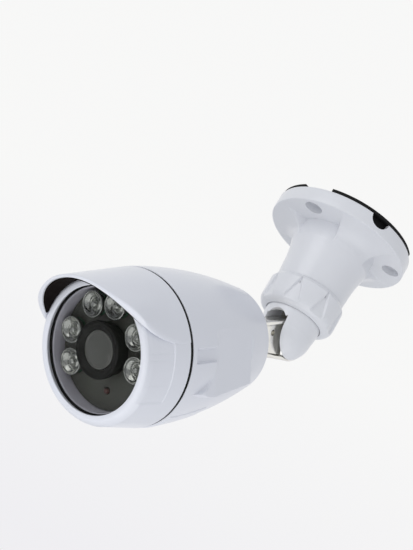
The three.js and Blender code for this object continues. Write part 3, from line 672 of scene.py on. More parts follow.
sensor_eye = skin("sensor_eye", (0.12, 0.060, 0.052), (0.10, 0.050, 0.044), rough=0.3, grain=900, bump=0.02)
lens_coating = skin(
    "lens_coating", (0.075, 0.077, 0.067), (0.073, 0.075, 0.065), rough=0.12, grain=900, bump=0.0, tone=10,
    coat_weight=0.6, coat_roughness=0.05,
)
lamp_bowl = skin(
    "lamp_bowl", (0.42, 0.43, 0.40), (0.34, 0.35, 0.33), rough=0.14, metal=0.85, grain=700, tone=250,
)
lamp_clear = skin(
    "lamp_clear", (0.20, 0.21, 0.19), (0.16, 0.17, 0.155), rough=0.1, grain=900, bump=0.0, tone=150,
    coat_weight=0.6, coat_roughness=0.05,
)
window = skin(
    "window_glass", (0.02, 0.022, 0.018), (0.02, 0.022, 0.018), rough=0.04, grain=900, bump=0.0,
    rough_spread=0.0, alpha=0.1, specular_ior_level=0.12,
)

SLOT_FINISH = {
    "white_shell": white_shell, "black_rubber": black_rubber, "black_plastic": shroud_black,
    "chrome": chrome, "steel": steel, "nylon": nylon, "window_glass": window, "lens_glass": lens_coating,
    "grey_sleeve": grey_sleeve, "dark_mask": dark_mask, "clear_lens": lamp_clear, "led_chip": lamp_chip,
    "circuit_board": circuit_board, "chip_black": chip_black, "sensor_eye": sensor_eye,
}
for part in frame["record"]["subparts"]:
    owner = frame["nodes"][part["node"]]
    owner.data.materials.clear()
    owner.data.materials.append(SLOT_FINISH[part["material_slot"]])


# Bracket base

def stem_line(count=240):
    """Stem and flare as (radius, height): a smooth curve through the stem's sizes, then a quarter ellipse."""
    knots = STEM_FOOT + STEM_KNOT_SHARES * (FLARE_LOW - STEM_FOOT)
    radii = [STEM_FOOT_RADIUS, (STEM_FOOT_RADIUS + STEM_RADIUS) / 2, STEM_RADIUS, FLARE_RADIUS]
    fit = np.polyfit(knots, radii, 3)
    height = np.linspace(STEM_FOOT, FLARE_LOW, count // 2, endpoint=False)
    angle = np.linspace(0, math.pi / 2, count // 2)
    flare = np.stack([
        FLARE_RADIUS + (RIM_RADIUS - FLARE_RADIUS) * (1 - np.cos(angle)),
        FLARE_LOW + (RIM_LOW - FLARE_LOW) * np.sin(angle),
    ], -1)
    return np.concatenate([np.stack([np.polyval(fit, height), height], -1), flare])


def base_surface():
    """Base as columns round the axis. In each the section runs up the stem to the pocket's wall
    radius, up the wall, out along the pocket's floor and round the rim. Between pockets the wall
    has no height and the floor is the flare. The two blend over a rounding of even width."""
    dense = []
    for screw in SCREW_ANGLES:
        for side in (-1, 1):
            edge = screw + side * POCKET_HALF_ANGLE
            dense.append(np.linspace(edge - POCKET_EDGE_TURN, edge + POCKET_EDGE_TURN, 40) % FULL_TURN)
    angles = np.unique(np.round(np.concatenate([all_round(300), *dense]), 5))
    away = np.min([np.abs((angles - s + math.pi) % FULL_TURN - math.pi) for s in SCREW_ANGLES], axis=0)
    past = (away - POCKET_HALF_ANGLE)[:, None]
    edge_radius = np.full(len(angles), POCKET_WALL)
    line = stem_line()
    along = np.linspace(0, 1, len(line))
    stop = np.full(len(angles), np.interp(POCKET_WALL, line[:, 0], along))
    climb = stop[:, None] * np.linspace(0, 1, 60) ** 0.8
    stem_r = np.interp(climb, along, line[:, 0])
    stem_h = np.interp(climb, along, line[:, 1])
    wall = np.linspace(0, 1, 14)[1:]
    wall_r = np.repeat(edge_radius[:, None], len(wall), 1)
    near = softly(POCKET_EDGE, -POCKET_EDGE, past * POCKET_WALL)
    wall_h = stem_h[:, -1:] + near * (RIM_LOW - stem_h[:, -1:]) * wall
    out = np.linspace(0, 1, 40)[1:]
    rim_edge = RIM_RADIUS - RIM_ROUND
    floor_r = edge_radius[:, None] + (rim_edge - edge_radius[:, None]) * out
    flare_h = np.interp(floor_r, line[:, 0], line[:, 1])
    floor_h = flare_h + softly(POCKET_EDGE, -POCKET_EDGE, past * floor_r) * (RIM_LOW - flare_h)
    corner = np.linspace(RIM_CORNER_START, math.pi / 2, 4)
    chamfer = RIM_CHAMFER_SHARE * RIM_ROUND
    rest = np.concatenate([
        np.stack([rim_edge + RIM_ROUND * np.sin(corner), RIM_LOW + RIM_ROUND * (1 - np.cos(corner))], -1),
        [(RIM_RADIUS, RIM_LOW + share * (RIM_HIGH - RIM_LOW)) for share in RIM_STEP_SHARES],
        [
            (RIM_RADIUS, RIM_HIGH - RIM_ROUND), (RIM_RADIUS - chamfer, RIM_HIGH - chamfer),
            (rim_edge, RIM_HIGH), (RIM_RADIUS - RIM_WALL, RIM_HIGH),
            (RIM_RADIUS - RIM_WALL, CAVITY_FLOOR), (STEM_BORE, CAVITY_FLOOR), (STEM_BORE, STEM_END),
            (SPIGOT_RADIUS, STEM_END), (SPIGOT_RADIUS, STEM_FOOT),
        ],
    ])
    rest_r = np.repeat(rest[None, :, 0], len(angles), 0)
    rest_h = np.repeat(rest[None, :, 1], len(angles), 0)
    radius = np.concatenate([stem_r, wall_r, floor_r, rest_r], 1)
    height = np.concatenate([stem_h, wall_h, floor_h, rest_h], 1)
    a = angles[:, None]
    return np.stack([radius * np.cos(a), radius * np.sin(a), height], -1), True, True


def about(angle, place=HANGING):
    """The same place, turned about its upright axis by angle."""
    turn, shift = place
    return turn @ turn_z(angle), shift


def outlet_cutter():
    """U-shaped cutter for the cable outlet: a half circle with straight sides, pushed out along X."""
    a = np.linspace(math.pi, FULL_TURN, 33)
    y = np.concatenate([NOTCH_RADIUS * np.cos(a), [NOTCH_RADIUS, -NOTCH_RADIUS]])
    z = np.concatenate([RIM_HIGH + NOTCH_RADIUS * np.sin(a), np.full(2, RIM_HIGH + 2 * OVERRUN)])
    low, high = RIM_RADIUS - RIM_WALL - OVERRUN, RIM_RADIUS + OVERRUN
    middle = np.stack([np.full_like(y, low), y, z], -1)
    ends = [np.broadcast_to([x, 0, RIM_HIGH], middle.shape) for x in (low, high)]
    return np.stack([ends[0], middle, middle + [high - low, 0, 0], ends[1]]), False, True


boss_low = CAVITY_FLOOR - CLEARANCE
boss_section = [
    (COUNTERBORE_RADIUS, boss_low, 0), (BOSS_RADIUS, boss_low, 0), (BOSS_RADIUS, RIM_HIGH, EDGE_ROUND),
    (SCREW_BORE, RIM_HIGH, FINE_ROUND), (SCREW_BORE, COUNTERBORE_TOP, 0),
    (COUNTERBORE_RADIUS, COUNTERBORE_TOP, 0),
]
screw_spots = [(SCREW_CIRCLE * math.cos(a), SCREW_CIRCLE * math.sin(a)) for a in SCREW_ANGLES]
counterbores = [
    ([rod(COUNTERBORE_RADIUS, RIM_LOW - OVERRUN, CAVITY_FLOOR + OVERRUN, 64, spot)], HANGING)
    for spot in screw_spots
]
add_piece(
    "bracket_base", [base_surface()], HANGING, "base", "white_shell", ["base_stem"], finish=white_base,
    cutters=[*counterbores, ([outlet_cutter()], about(NOTCH_ANGLE))],
)
for k, spot in enumerate(screw_spots):
    boss = [turned(boss_section, 64, spot)]
    add_piece(f"screw_boss_{k + 1}", boss, HANGING, "base", "white_shell", finish=white_base)


def gasket_surface(screw):
    """One stretch of the flat ring, from the gap at a screw to the next gap: a rectangle with rounded
    corners carried round the arc, its ends closed."""
    half = math.asin(GASKET_GAP_WIDTH / 2 / GASKET_OUTER)
    first = screw + GASKET_GAP_TURN + half
    angles = np.linspace(first, first + FULL_TURN / 3 - 2 * half, 90)
    line = rounded(box_section(GASKET_INNER, GASKET_OUTER, GASKET_LOW, PIVOT_DROP, ALL_FINE), spacing=4)
    middle = np.broadcast_to(line.mean(0), line.shape)
    ends = [swept(middle, angles[:1]), swept(middle, angles[-1:])]
    return np.concatenate([ends[0], swept(line, angles), ends[1]]), False, True


web_section = box_section(GASKET_INNER, GASKET_WEB, GASKET_LOW, PIVOT_DROP, ALL_FINE)
skirt_section = box_section(
    SKIRT_OUTER - SKIRT_WALL, SKIRT_OUTER, SKIRT_LOW, GASKET_LOW + CLEARANCE, (FINE_ROUND, FINE_ROUND, 0, 0),
)
boss_rooms = [
    ([rod(BOSS_RADIUS + CLEARANCE, SKIRT_LOW - OVERRUN, PIVOT_DROP - HAIR, 48, spot)], HANGING)
    for spot in screw_spots
]
gasket = [*map(gasket_surface, SCREW_ANGLES), turned(web_section, 160)]
add_piece("foam_gasket", gasket, HANGING, "base", "black_rubber", ["base_gasket"])
add_piece("gasket_skirt", [turned(skirt_section, 160)], HANGING, "base", "black_rubber", cutters=boss_rooms)


# Lock ring and knuckle

def ring_surface():
    """Lock ring: its section turned, with V-shaped valleys. A valley draws the radius down to a floor
    where the distance to its middle is under a half width that grows from the apex to the foot."""
    nose = np.linspace(-math.pi / 2, 0, 14)
    draw = RING_RADIUS - RING_MOUTH_RADIUS
    nose_height = RING_SHOULDER + (RING_SHOULDER - RING_MOUTH) * np.sin(nose)
    outer = np.stack([RING_MOUTH_RADIUS + draw * np.cos(nose), nose_height], -1)
    bevel_foot = RING_TOP - RING_BEVEL
    upper = np.stack([np.full(30, RING_RADIUS), np.linspace(RING_SHOULDER, bevel_foot, 31)[1:]], -1)
    lip_top = RING_MOUTH + RING_LIP
    inner = rounded([
        (RING_RADIUS - HAIR / 2, bevel_foot + HAIR, 0), (RING_RADIUS - PAD_HEIGHT, RING_TOP, EDGE_ROUND),
        (RING_BORE, RING_TOP, 0), (RING_BORE, lip_top, 0), (RING_MOUTH_RADIUS, lip_top, 0),
    ])
    line = np.concatenate([outer, upper, inner])
    angles = all_round(480)
    points = swept(line, angles)
    radius = np.hypot(points[..., 0], points[..., 1])
    height = points[..., 2]
    step = FULL_TURN / PAD_COUNT
    off = (angles - VALLEY_ANGLE + step / 2) % step - step / 2
    half = VALLEY_HALF * np.clip((VALLEY_APEX - height) / (VALLEY_APEX - VALLEY_FOOT), 0, 1)
    away = np.abs(off)[:, None] * RING_RADIUS
    inside = softly(half + VALLEY_EDGE, half - VALLEY_EDGE, away) * (half > 0)
    floor = RING_RADIUS - PAD_HEIGHT
    lowered = radius - np.maximum(radius - floor, 0) * inside
    points[..., :2] *= (lowered / radius)[..., None]
    return points, True, True


ring = [ring_surface()]
add_piece("grip_ring", ring, HANGING, "ring", "white_shell", ["lock_ring"], crease=45, finish=white_base)


def dome_section():
    """Dome, as a closed line: a quarter circle below the pivot, then a skirt, flange and spigot."""
    a = np.linspace(-math.pi / 2, 0, 40)
    ball = np.stack([DOME_RADIUS * np.cos(a), DOME_RADIUS * np.sin(a)], -1)
    rest = np.array([
        (SKIRT_RADIUS - SKIRT_DRAFT, DOME_WAIST), (SKIRT_RADIUS, SKIRT_FOOT), (SKIRT_RADIUS, FLANGE_LOW),
        (FLANGE_RADIUS, FLANGE_LOW), (FLANGE_RADIUS, FLANGE_HIGH), (KNUCKLE_SPIGOT, FLANGE_HIGH),
        (KNUCKLE_SPIGOT, KNUCKLE_TOP), (0, KNUCKLE_TOP),
    ])
    return np.concatenate([ball, rest])


def slot_cutter():
    """Slot of the dome: a half circle on two straight sides, pushed through along Y."""
    a = np.linspace(0, math.pi, 33)
    x = np.concatenate([SLOT_HALF * np.cos(a), [-SLOT_HALF, SLOT_HALF]])
    z = np.concatenate([SLOT_HEIGHT + SLOT_HALF * np.sin(a), np.full(2, -DOME_RADIUS - 2 * OVERRUN)])
    reach = SKIRT_RADIUS + 2 * OVERRUN
    face = np.stack([x, np.full_like(x, -reach), z], -1)
    ends = [np.broadcast_to([0, y, 0], face.shape) for y in (-reach, reach)]
    return np.stack([ends[0], face, face + [0, 2 * reach, 0], ends[1]]), False, True


SIDEWAYS = (np.array([[0, 0, 1], [0, 1, 0], [-1, 0, 0]], float), PIVOT)
dome_surface = (swept(dome_section(), all_round(160)), True, False)
dome = add_piece(
    "knuckle", [dome_surface], HANGING, "knuckle", "white_shell", ["knuckle_dome"], finish=white_base,
    cutters=[
        ([slot_cutter()], HANGING),
        ([rod(DISC_ROOM, -SLOT_HALF, SLOT_HALF, 96)], SIDEWAYS),
        ([rod(KNUCKLE_BORE, ARM_DISC, KNUCKLE_TOP + OVERRUN, 64)], HANGING),
    ],
)
edge = dome.modifiers.new("edge", "BEVEL")
edge.width = SLOT_EDGE * MM
edge.segments = 2
edge.limit_method = "ANGLE"
edge.angle_limit = SLOT_EDGE_ANGLE


# Tilt arm

def arm_surface():
    """Arm as sections across it at stations from the disc's far side to the flange. Each section is a
    rounded rectangle whose two half widths follow the disc and the blade's straight edges, with a
    pocket in each face and a fillet that widens it towards the flange. The disc is cut off level with
    the blade's upper edge."""
    start = -ARM_DISC * np.cos(np.linspace(0, math.pi / 2, 40, endpoint=False))
    fillet_start = ARM_TIP - ARM_FILLET_REACH
    q = np.concatenate([
        start, np.linspace(0, fillet_start, 70, endpoint=False), np.linspace(fillet_start, ARM_TIP, 14),
    ])
    wheel = np.sqrt(np.maximum(ARM_DISC ** 2 - q ** 2, 0))
    share = (q - ARM_ROOT) / (ARM_TIP - ARM_ROOT)
    beyond = q > ARM_ROOT
    fillet = ARM_FILLET * np.maximum(1 - (ARM_TIP - q) / ARM_FILLET_REACH, 0) ** 3
    lower_blade = ARM_LOWER + (ARM_TIP_HALF - ARM_LOWER) * share
    upper_blade = ARM_UPPER + (ARM_TIP_HALF - ARM_UPPER) * share
    lower = np.where(beyond, np.maximum(wheel, lower_blade), wheel) + fillet
    upper = np.where(beyond, upper_blade, np.minimum(wheel, ARM_UPPER)) + fillet
    first, last = ARM_EDGE_SHARE, 1 - ARM_EDGE_SHARE
    middle = np.linspace(first, last, 60)[1:-1]
    v = np.concatenate([np.linspace(0, first, 8), middle, np.linspace(last, 1, 8)])
    width = (lower + upper)[:, None]
    y = -upper[:, None] + width * v
    rim = np.minimum(y + upper[:, None], lower[:, None] - y)
    corner = np.minimum(ARM_ROUND, width / 2 + 1e-6)
    inset = np.clip(1 - rim / corner, 0, 1)
    half = ARM_HALF + ARM_FILLET_SHARE * fillet[:, None] - corner * (1 - np.sqrt(1 - inset ** 2))
    start = softly(ARM_POCKET_START - ARM_POCKET_SOFT, ARM_POCKET_START + ARM_POCKET_SOFT, q)
    end = softly(ARM_TIP - ARM_POCKET_END, ARM_TIP - ARM_POCKET_FADE, q)
    pocket = softly(ARM_RIM - ARM_POCKET_SOFT, ARM_RIM + ARM_POCKET_SOFT, rim) * (start * end)[:, None]
    half = half - ARM_POCKET_DEPTH * pocket
    z = np.repeat(-q[:, None], len(v), 1)
    front = np.stack([half, y, z], -1)
    back = np.stack([-half, y, z], -1)[:, ::-1]
    body = np.concatenate([front, back], 1)
    closing = np.broadcast_to([0, 0, -ARM_TIP], body[:1].shape)
    return np.concatenate([body, closing]), False, True


flange_rounds = (0, *ARM_FLANGE_ROUNDS, 0)
flange_section = box_section(AXIS_RADIUS, ARM_FLANGE, -ARM_LENGTH, CLEARANCE - ARM_TIP, flange_rounds)
tilt_turn = TILTED[0]
hole_centre = np.array([0, -ARM_HOLE_RISE, -ARM_HOLE])
hole_place = (tilt_turn @ SIDEWAYS[0], tilt_turn @ hole_centre + PIVOT)
add_piece(
    "bright_arm", [arm_surface()], TILTED, "arm", "chrome", ["tilt_arm"],
    cutters=[([rod(ARM_HOLE_RADIUS, -ARM_HOLE_REACH, ARM_HOLE_REACH, 40)], hole_place)],
)
stud = rod(STUD_RADIUS, -STUD_END, -ARM_TIP, 48)
add_piece("arm_flange", [turned(flange_section, 128), stud], TILTED, "arm", "chrome")


# Rear housing

def housing_radius(back):
    """Radius of the housing: it falls with the square of the way back from the seam."""
    return SEAM_RADIUS - (SEAM_RADIUS - TAIL_RADIUS) * (back / HOUSING_LENGTH) ** 2


def head_points(radius, ahead, azimuth):
    """Points of the head from a radius, a way ahead of the seam, and an angle from its top to its side."""
    radius, ahead, azimuth = np.broadcast_arrays(radius, ahead, azimuth)
    return np.stack([radius * np.sin(azimuth), radius * np.cos(azimuth), ahead], -1)


def side_dense(count, spans):
    """Angles of a full turn, with more of them in the spans (from, to, count) on both sides of the head."""
    sets = [all_round(count)]
    for low, high, extra in spans:
        span = np.radians(np.linspace(low, high, extra))
        sets += [span, FULL_TURN - span]
    return np.unique(np.round(np.concatenate(sets), 5))


def flank_depth(back, y):
    """How far a place on the side view lies inside the flank's outline: the least of its distances to
    the front edge, the bottom edge and the rear edge. Below its bend the front edge is a quarter circle
    about the toe's top corner: the distance from that corner, less the radius."""
    size = FLANK_START - FLANK_TOE
    low = np.minimum(y - FLANK_BEND, 0)
    ahead = np.maximum(FLANK_START - back, 0)
    bend = np.hypot(size - ahead, low) - size
    lower_front = np.where(back < FLANK_START, bend, back - FLANK_TOE)
    front = np.where(y > FLANK_BEND, back - FLANK_START, lower_front)
    bottom = np.interp(back, [FLANK_START, FLANK_END], FLANK_DROPS)
    bottom = bottom + FLANK_TOE_LIFT * softly(FLANK_START, FLANK_TOE, back)
    return np.minimum(np.minimum(front, y - bottom), FLANK_END - back)


def housing_surface():
    """Housing: the outer skin is turned, and each side is then moved across to a flat flank inside the
    flank's outline, by a smooth step of the distance to the outline. Above the middle the flank only
    takes away. A pocket with a flat floor is sunk in front of it in the same way. The section goes on
    round the tail, the boss and the stud's hole and comes back inside the wall."""
    straight = HOUSING_LENGTH - TAIL_ROUND
    stops = [
        SEAM_HALF + SEAM_EDGE, GROOVE_FRONT[0] - HAIR / 2, FLANK_DENSE_END, FLANK_END + FLANK_END_EDGE[0],
        FLANK_END + FLANK_END_EDGE[1], straight,
    ]
    back = runs(*zip(stops[:-1], stops[1:], (7, 48, 36, 10, 16)))
    skin_line = np.stack([housing_radius(back), -back], -1)
    lead = np.array([(SEAM_RADIUS - inside, -SEAM_HALF - behind) for inside, behind in SEAM_EDGE_STEPS])
    a = np.linspace(0, math.pi / 2, 9)[1:]
    tail_radius = housing_radius(straight) - TAIL_ROUND * (1 - np.cos(a))
    tail = np.stack([tail_radius, -straight - TAIL_ROUND * np.sin(a)], -1)
    end = HOUSING_LENGTH + BOSS_LENGTH
    boss = [(BOSS_ROOT + wider, -HOUSING_LENGTH - behind) for wider, behind in BOSS_FILLET]
    boss += [(BOSS_TIP + wider, -end - behind) for wider, behind in BOSS_CORNER]
    boss += [(STUD_HOLE, -end), (STUD_HOLE, TAIL_WALL - HOUSING_LENGTH)]
    inner = runs((0, HOUSING_LENGTH - TAIL_WALL, 12))[::-1]
    drawn = WALL_DRAW_IN * softly(CAP_SKIRT + OVERRUN, WALL_RAMP_END, inner)
    wall = np.stack([housing_radius(inner) - HOUSING_WALL - drawn, -inner], -1)[1:]
    rest = np.concatenate([boss, wall, [(SEAM_RADIUS - HOUSING_WALL, -SEAM_HALF)]])
    line = np.concatenate([lead, skin_line, tail, rest])
    outer = np.zeros(len(line), bool)
    outer[:len(lead) + len(skin_line) + len(tail)] = True
    azimuth = side_dense(320, HOUSING_SPANS)
    points = head_points(line[:, 0], line[:, 1], azimuth[:, None])
    x, y, back = points[..., 0], points[..., 1], -points[..., 2]
    inside = softly(*FLANK_EDGE, flank_depth(back, y))
    flat = np.interp(back, *np.transpose(FLANK_WIDTHS))
    flat = np.where(y > 0, np.minimum(flat, np.abs(x)), flat)
    moved = np.abs(x) + (flat - np.abs(x)) * inside
    pocket = softly(*GROOVE_FRONT, back) * softly(*GROOVE_TOP, y) * softly(*GROOVE_LOW, y)
    sunk = moved + (np.minimum(moved, GROOVE_FLOOR) - moved) * pocket
    side = outer & (np.abs(x) > SEAM_RADIUS / 2)
    points[..., 0] = np.where(side, np.sign(x) * sunk, x)
    return points, True, True


head_piece("housing_shell", [housing_surface()], "white_shell", ["rear_housing"], crease=50)


# Curved plates on the head

def plate(edge_azimuth, edge_ahead, foot_azimuth, foot_ahead, outer, inner, rounding, rows=44):
    """A plate that follows the head's roundness. Its columns run from foot points to edge points, and
    its two faces are radius functions of the way ahead and the angle. Near the free edge both draw
    together along a quarter ellipse, so that the edge is rounded."""
    u = 1 - (1 - np.linspace(0, 1, rows)) ** HOOD_CROWDING
    azimuth = foot_azimuth[:, None] + (edge_azimuth - foot_azimuth)[:, None] * u
    ahead = foot_ahead[:, None] + (edge_ahead - foot_ahead)[:, None] * u
    flat = np.stack([azimuth * SEAM_RADIUS, ahead], -1)
    border = np.stack([edge_azimuth * SEAM_RADIUS, edge_ahead], -1)
    quarters = [border[:-1] + (border[1:] - border[:-1]) * t for t in np.arange(4) / 4]
    fine = np.concatenate([*quarters, border[-1:]])
    distance = np.min(np.linalg.norm(flat[:, :, None] - fine[None, None], axis=-1), -1)
    inset = np.clip(1 - distance / rounding, 0, 1)
    top, bottom = outer(ahead, azimuth), inner(ahead, azimuth)
    half = (top - bottom) / 2 * np.sqrt(1 - inset ** 2)
    middle = (top + bottom) / 2
    upper = head_points(middle + half, ahead, azimuth)
    lower = head_points(middle - half, ahead, azimuth)
    return np.concatenate([upper, lower[:, ::-1]], 1), False, True


def hood_radius(ahead, azimuth=0.0):
    """Outer radius of the hood: it tapers evenly from the seam to the tip, and swells by a bell curve
    of the angle, e to the minus square, towards the visor's two lower corners."""
    corner = np.exp(-((np.abs(azimuth) - HOOD_BULGE_TURN) / HOOD_BULGE_SPREAD) ** 2)
    swell = HOOD_BULGE * corner * softly(*HOOD_BULGE_GROWS, ahead)
    return SEAM_RADIUS - HOOD_TAPER * ahead / HOOD_REACH + swell


def visor_inside(ahead, azimuth):
    """Inner radius of the hood: a wall under the cap's skin, and one radius along the visor."""
    wall = SEAM_RADIUS - HOOD_TAPER * ahead / HOOD_REACH - HOOD_WALL
    return wall + (VISOR_INNER - wall) * softly(*VISOR_STEP, ahead)


def visor_edge(azimuth):
    """Reach of the visor at an angle from its top, with w = 1 - cos: reach - a w - b w^2."""
    w = 1 - np.cos(azimuth)
    return VISOR_REACH - VISOR_SWEEPS[0] * w - VISOR_SWEEPS[1] * w ** 2


def hood_border(back):
    """Half of the hood's free border as (azimuth, ahead, rounding), from the top down the visor's edge
    and back along the side edge to the seam, with a smooth curve through the side edge's points. The
    visor's edge is crisp, and the side edge is rounded more the further it lies ahead."""
    low = math.acos(HOOD_EDGE[-1][1] / hood_radius(HOOD_EDGE[-1][0]))
    front = np.linspace(0, low, 60)
    visor = np.stack([front, visor_edge(front), np.full(60, VISOR_ROUND)], -1)
    ahead, up = np.transpose(HOOD_EDGE)
    t = np.linspace(0, 1, 70)[:-1][::-1]
    knots = np.linspace(0, 1, len(HOOD_EDGE))
    side_ahead = np.polyval(np.polyfit(knots, ahead, 3), t)
    side_up = np.polyval(np.polyfit(knots, up, 3), t)
    extra = softly(*CREASE_GROWS, side_ahead) * softly(*CREASE_ENDS, side_ahead)
    side_round = CREASE_ROUND + CREASE_EXTRA * extra
    side = np.stack([np.arccos(side_up / hood_radius(side_ahead)), side_ahead, side_round], -1)
    tail_ahead = np.linspace(side[-1, 1], back, 13)[1:]
    tail = np.stack([np.full(12, side[-1, 0]), tail_ahead, np.full(12, CREASE_ROUND)], -1)
    return np.concatenate([visor, side, tail])


def both_sides(border):
    """A border for both sides from one of half of it."""
    left = border[:0:-1] * (-1, 1, 1)
    return np.concatenate([left, border])


def hood_surface():
    """Hood: a plate from the seam to the visor's edge."""
    border = both_sides(hood_border(SEAM_HALF))
    azimuth, ahead, rounding = border[:, 0], border[:, 1], border[:, 2:]
    foot = np.linspace(azimuth[0], azimuth[-1], len(border))
    foot_ahead = np.full(len(border), SEAM_HALF)
    return plate(azimuth, ahead, foot, foot_ahead, hood_radius, visor_inside, rounding)


def liner_surface():
    """Lining: a plate inside the visor, set back from its edge."""
    azimuth = np.linspace(-LINER_TURN, LINER_TURN, 160)
    edge = visor_edge(azimuth) - LINER_INSET
    foot = np.full(len(azimuth), CAP_DEPTH - OVERRUN)
    outer = lambda ahead, angle: visor_inside(ahead, angle) + HAIR
    inner = lambda ahead, angle: outer(ahead, angle) - LINER_WALL
    return plate(azimuth, edge, azimuth * LINER_FOOT_SHARE, foot, outer, inner, LINER_ROUND)


def lid_surface():
    """Lid on the underside: a plate a little proud of the housing's skin, thinned towards its border
    along a quarter circle."""
    back = np.linspace(LID_START, LID_START + LID_LENGTH, 60)
    radius = housing_radius(back)
    half = np.arcsin(LID_HALF / radius)
    first, second = math.pi - half, math.pi + half
    azimuth = first + (second - first) * np.linspace(0, 1, 90)[:, None]
    across = np.minimum(azimuth - first, second - azimuth) * SEAM_RADIUS
    along = np.minimum(back - LID_START, LID_START + LID_LENGTH - back)
    inset = np.clip(1 - np.minimum(across, along) / LID_ROUND, 0, 1)
    depth = LID_RISE + LID_DEPTH
    half_depth = depth / 2 - LID_ROUND * (1 - np.sqrt(1 - inset ** 2))
    middle = radius + LID_RISE - depth / 2
    top = head_points(middle + half_depth, -back, azimuth)
    bottom = head_points(middle - half_depth, -back, azimuth)
    return np.concatenate([top, bottom[:, ::-1]], 1)


def closed_sheet(sheet):
    """A sheet's two faces as one closed grid: its first and last rows are drawn to lines."""
    half = sheet.shape[1] // 2
    ends = []
    for row in (sheet[0], sheet[-1]):
        middle = (row[:half] + row[::-1][:half]) / 2
        ends.append(np.concatenate([middle, middle[::-1]]))
    return np.concatenate([ends[0][None], sheet, ends[1][None]]), False, True


lining = closed_sheet(liner_surface()[0])
head_piece("hood", [hood_surface()], "white_shell", crease=60)
head_piece("visor_lining", [lining], "black_plastic", ["visor_liner"], crease=60, finish=visor_black)
head_piece("underside_lid", [closed_sheet(lid_surface())], "white_shell", ["service_lid"], crease=60)


# Front cap

def cap_surface():
    """Cap: its section turned, with two shallow grip panels on each side, one under the other. A panel
    lowers the radius by a depth times smooth steps along and up the side, and runs out at the lip. Two
    fine level lines are pressed into the upper one."""
    radius_at = lambda ahead: SEAM_RADIUS - CAP_TAPER * ahead / LIP_START
    stops = [SEAM_HALF + CLEARANCE, GRIP_START - GRIP_EDGE, GRIP_START + GRIP_EDGE, LIP_START - LIP_EDGE]
    ahead = runs(*zip(stops[:-1], stops[1:], (8, 8, 18)))
    skin_line = np.stack([radius_at(ahead), ahead], -1)
    lip = rounded([
        (radius_at(LIP_START), LIP_START, LIP_ROOT_ROUND), *LIP_CORNERS,
        (LIP_OPENING, LIP_SHOULDER, 0), (WINDOW_BORE, LIP_SHOULDER, 0),
        (WINDOW_BORE, SEAL_LEDGE, 0), (CAP_BORE, SEAL_LEDGE, 0), (CAP_BORE, 0, 0), (CAP_SKIRT_INNER, 0, 0),
        (CAP_SKIRT_INNER, -CAP_SKIRT, EDGE_ROUND), (CAP_THREAD, -CAP_SKIRT, EDGE_ROUND),
        (CAP_THREAD, SEAM_HALF, 0), (SEAM_RADIUS - CLEARANCE, SEAM_HALF, HAIR),
    ], spacing=3)
    line = np.concatenate([skin_line, lip])
    azimuth = side_dense(300, CAP_SPANS)
    points = head_points(line[:, 0], line[:, 1], azimuth[:, None])
    y, ahead = points[..., 1], points[..., 2]
    radius = np.hypot(points[..., 0], y)
    start = softly(GRIP_START - GRIP_SOFT, GRIP_START + GRIP_SOFT, ahead)
    above = softly(GRIP_LOW - GRIP_SOFT, GRIP_LOW + GRIP_SOFT, y)
    upper = softly(*GRIP_TOP, y) * above
    second = softly(SECOND_LOW - SECOND_SOFT, SECOND_LOW + SECOND_SOFT, y) * (1 - above)
    fade = 1 - GRIP_FADE_SHARE * softly(*GRIP_FADE, y)
    depth = start * (GRIP_DEPTH * fade * upper + SECOND_DEPTH * second)
    for up in GRIP_LINES:
        depth = depth + GRIP_LINE_DEPTH * start * softly(*GRIP_LINE_EDGE, np.abs(y - up))
    limit = softly(CAP_DEPTH - OVERRUN, LIP_START, ahead)
    outer = (radius > LIP_RADIUS - SKIN_SLACK) & (ahead > SEAM_HALF + FINE_ROUND)
    lowered = np.where(outer, np.maximum(radius - depth * limit, np.minimum(radius, LIP_RADIUS)), radius)
    points[..., :2] *= (lowered / radius)[..., None]
    return points, True, True


head_piece("cap_body", [cap_surface()], "white_shell", ["front_cap"], crease=45)
seam_depth = SEAM_HALF - HAIR
seam_section = box_section(
    SEAM_RADIUS - HOUSING_WALL, SEAM_RADIUS - SEAM_RING_INSET, -seam_depth, seam_depth, OUTER_FINE,
)
head_piece("seam_ring", [turned(seam_section, 256)], "black_rubber", ["seam_gasket"])


# Behind the window

def lamp_spot(angle):
    """Centre of a lamp on its circle, at an angle from the head's top."""
    return LAMP_CIRCLE * math.sin(angle), LAMP_CIRCLE * math.cos(angle)


seal_rounds = (SEAL_ROUND, 0, 0, SEAL_ROUND)
seal_section = box_section(SEAL_OPENING, SLEEVE_RADIUS, SEAL_BACK, SEAL_FRONT, seal_rounds)
head_piece("window_seal", [turned(seal_section, 192)], "black_rubber", ["glass_seal"])
window_section = box_section(AXIS_RADIUS, GLASS_RADIUS, SEAL_LEDGE, GLASS_FRONT, OUTER_FINE)
head_piece("window", [turned(window_section, 160, spacing=40)], "window_glass", ["front_glass"])
sleeve_ledge = LAMP_BOARD_BACK - CLEARANCE
sleeve_section = [
    (SLEEVE_LEDGE, SLEEVE_BACK, EDGE_ROUND), (SLEEVE_RADIUS, SLEEVE_BACK, EDGE_ROUND),
    (SLEEVE_RADIUS, SLEEVE_FRONT, FINE_ROUND), (SLEEVE_INNER, SLEEVE_FRONT, EDGE_ROUND),
    (SLEEVE_INNER, sleeve_ledge, 0), (SLEEVE_LEDGE, sleeve_ledge, 0),
]
head_piece("sleeve", [turned(sleeve_section, 160)], "grey_sleeve", ["inner_sleeve"])

mask_section = box_section(
    SHROUD_NECK + CLEARANCE, SLEEVE_INNER - CLEARANCE, MASK_FACE - MASK_WALL, MASK_FACE,
    (0, 0, FINE_ROUND, FINE_ROUND),
)


def mask_hole(radius, count, spot):
    """Cutter for a round hole through the mask at a spot."""
    return [rod(radius, MASK_FACE - 3 * OVERRUN, MASK_FACE + 2 * OVERRUN, count, spot)], HEAD


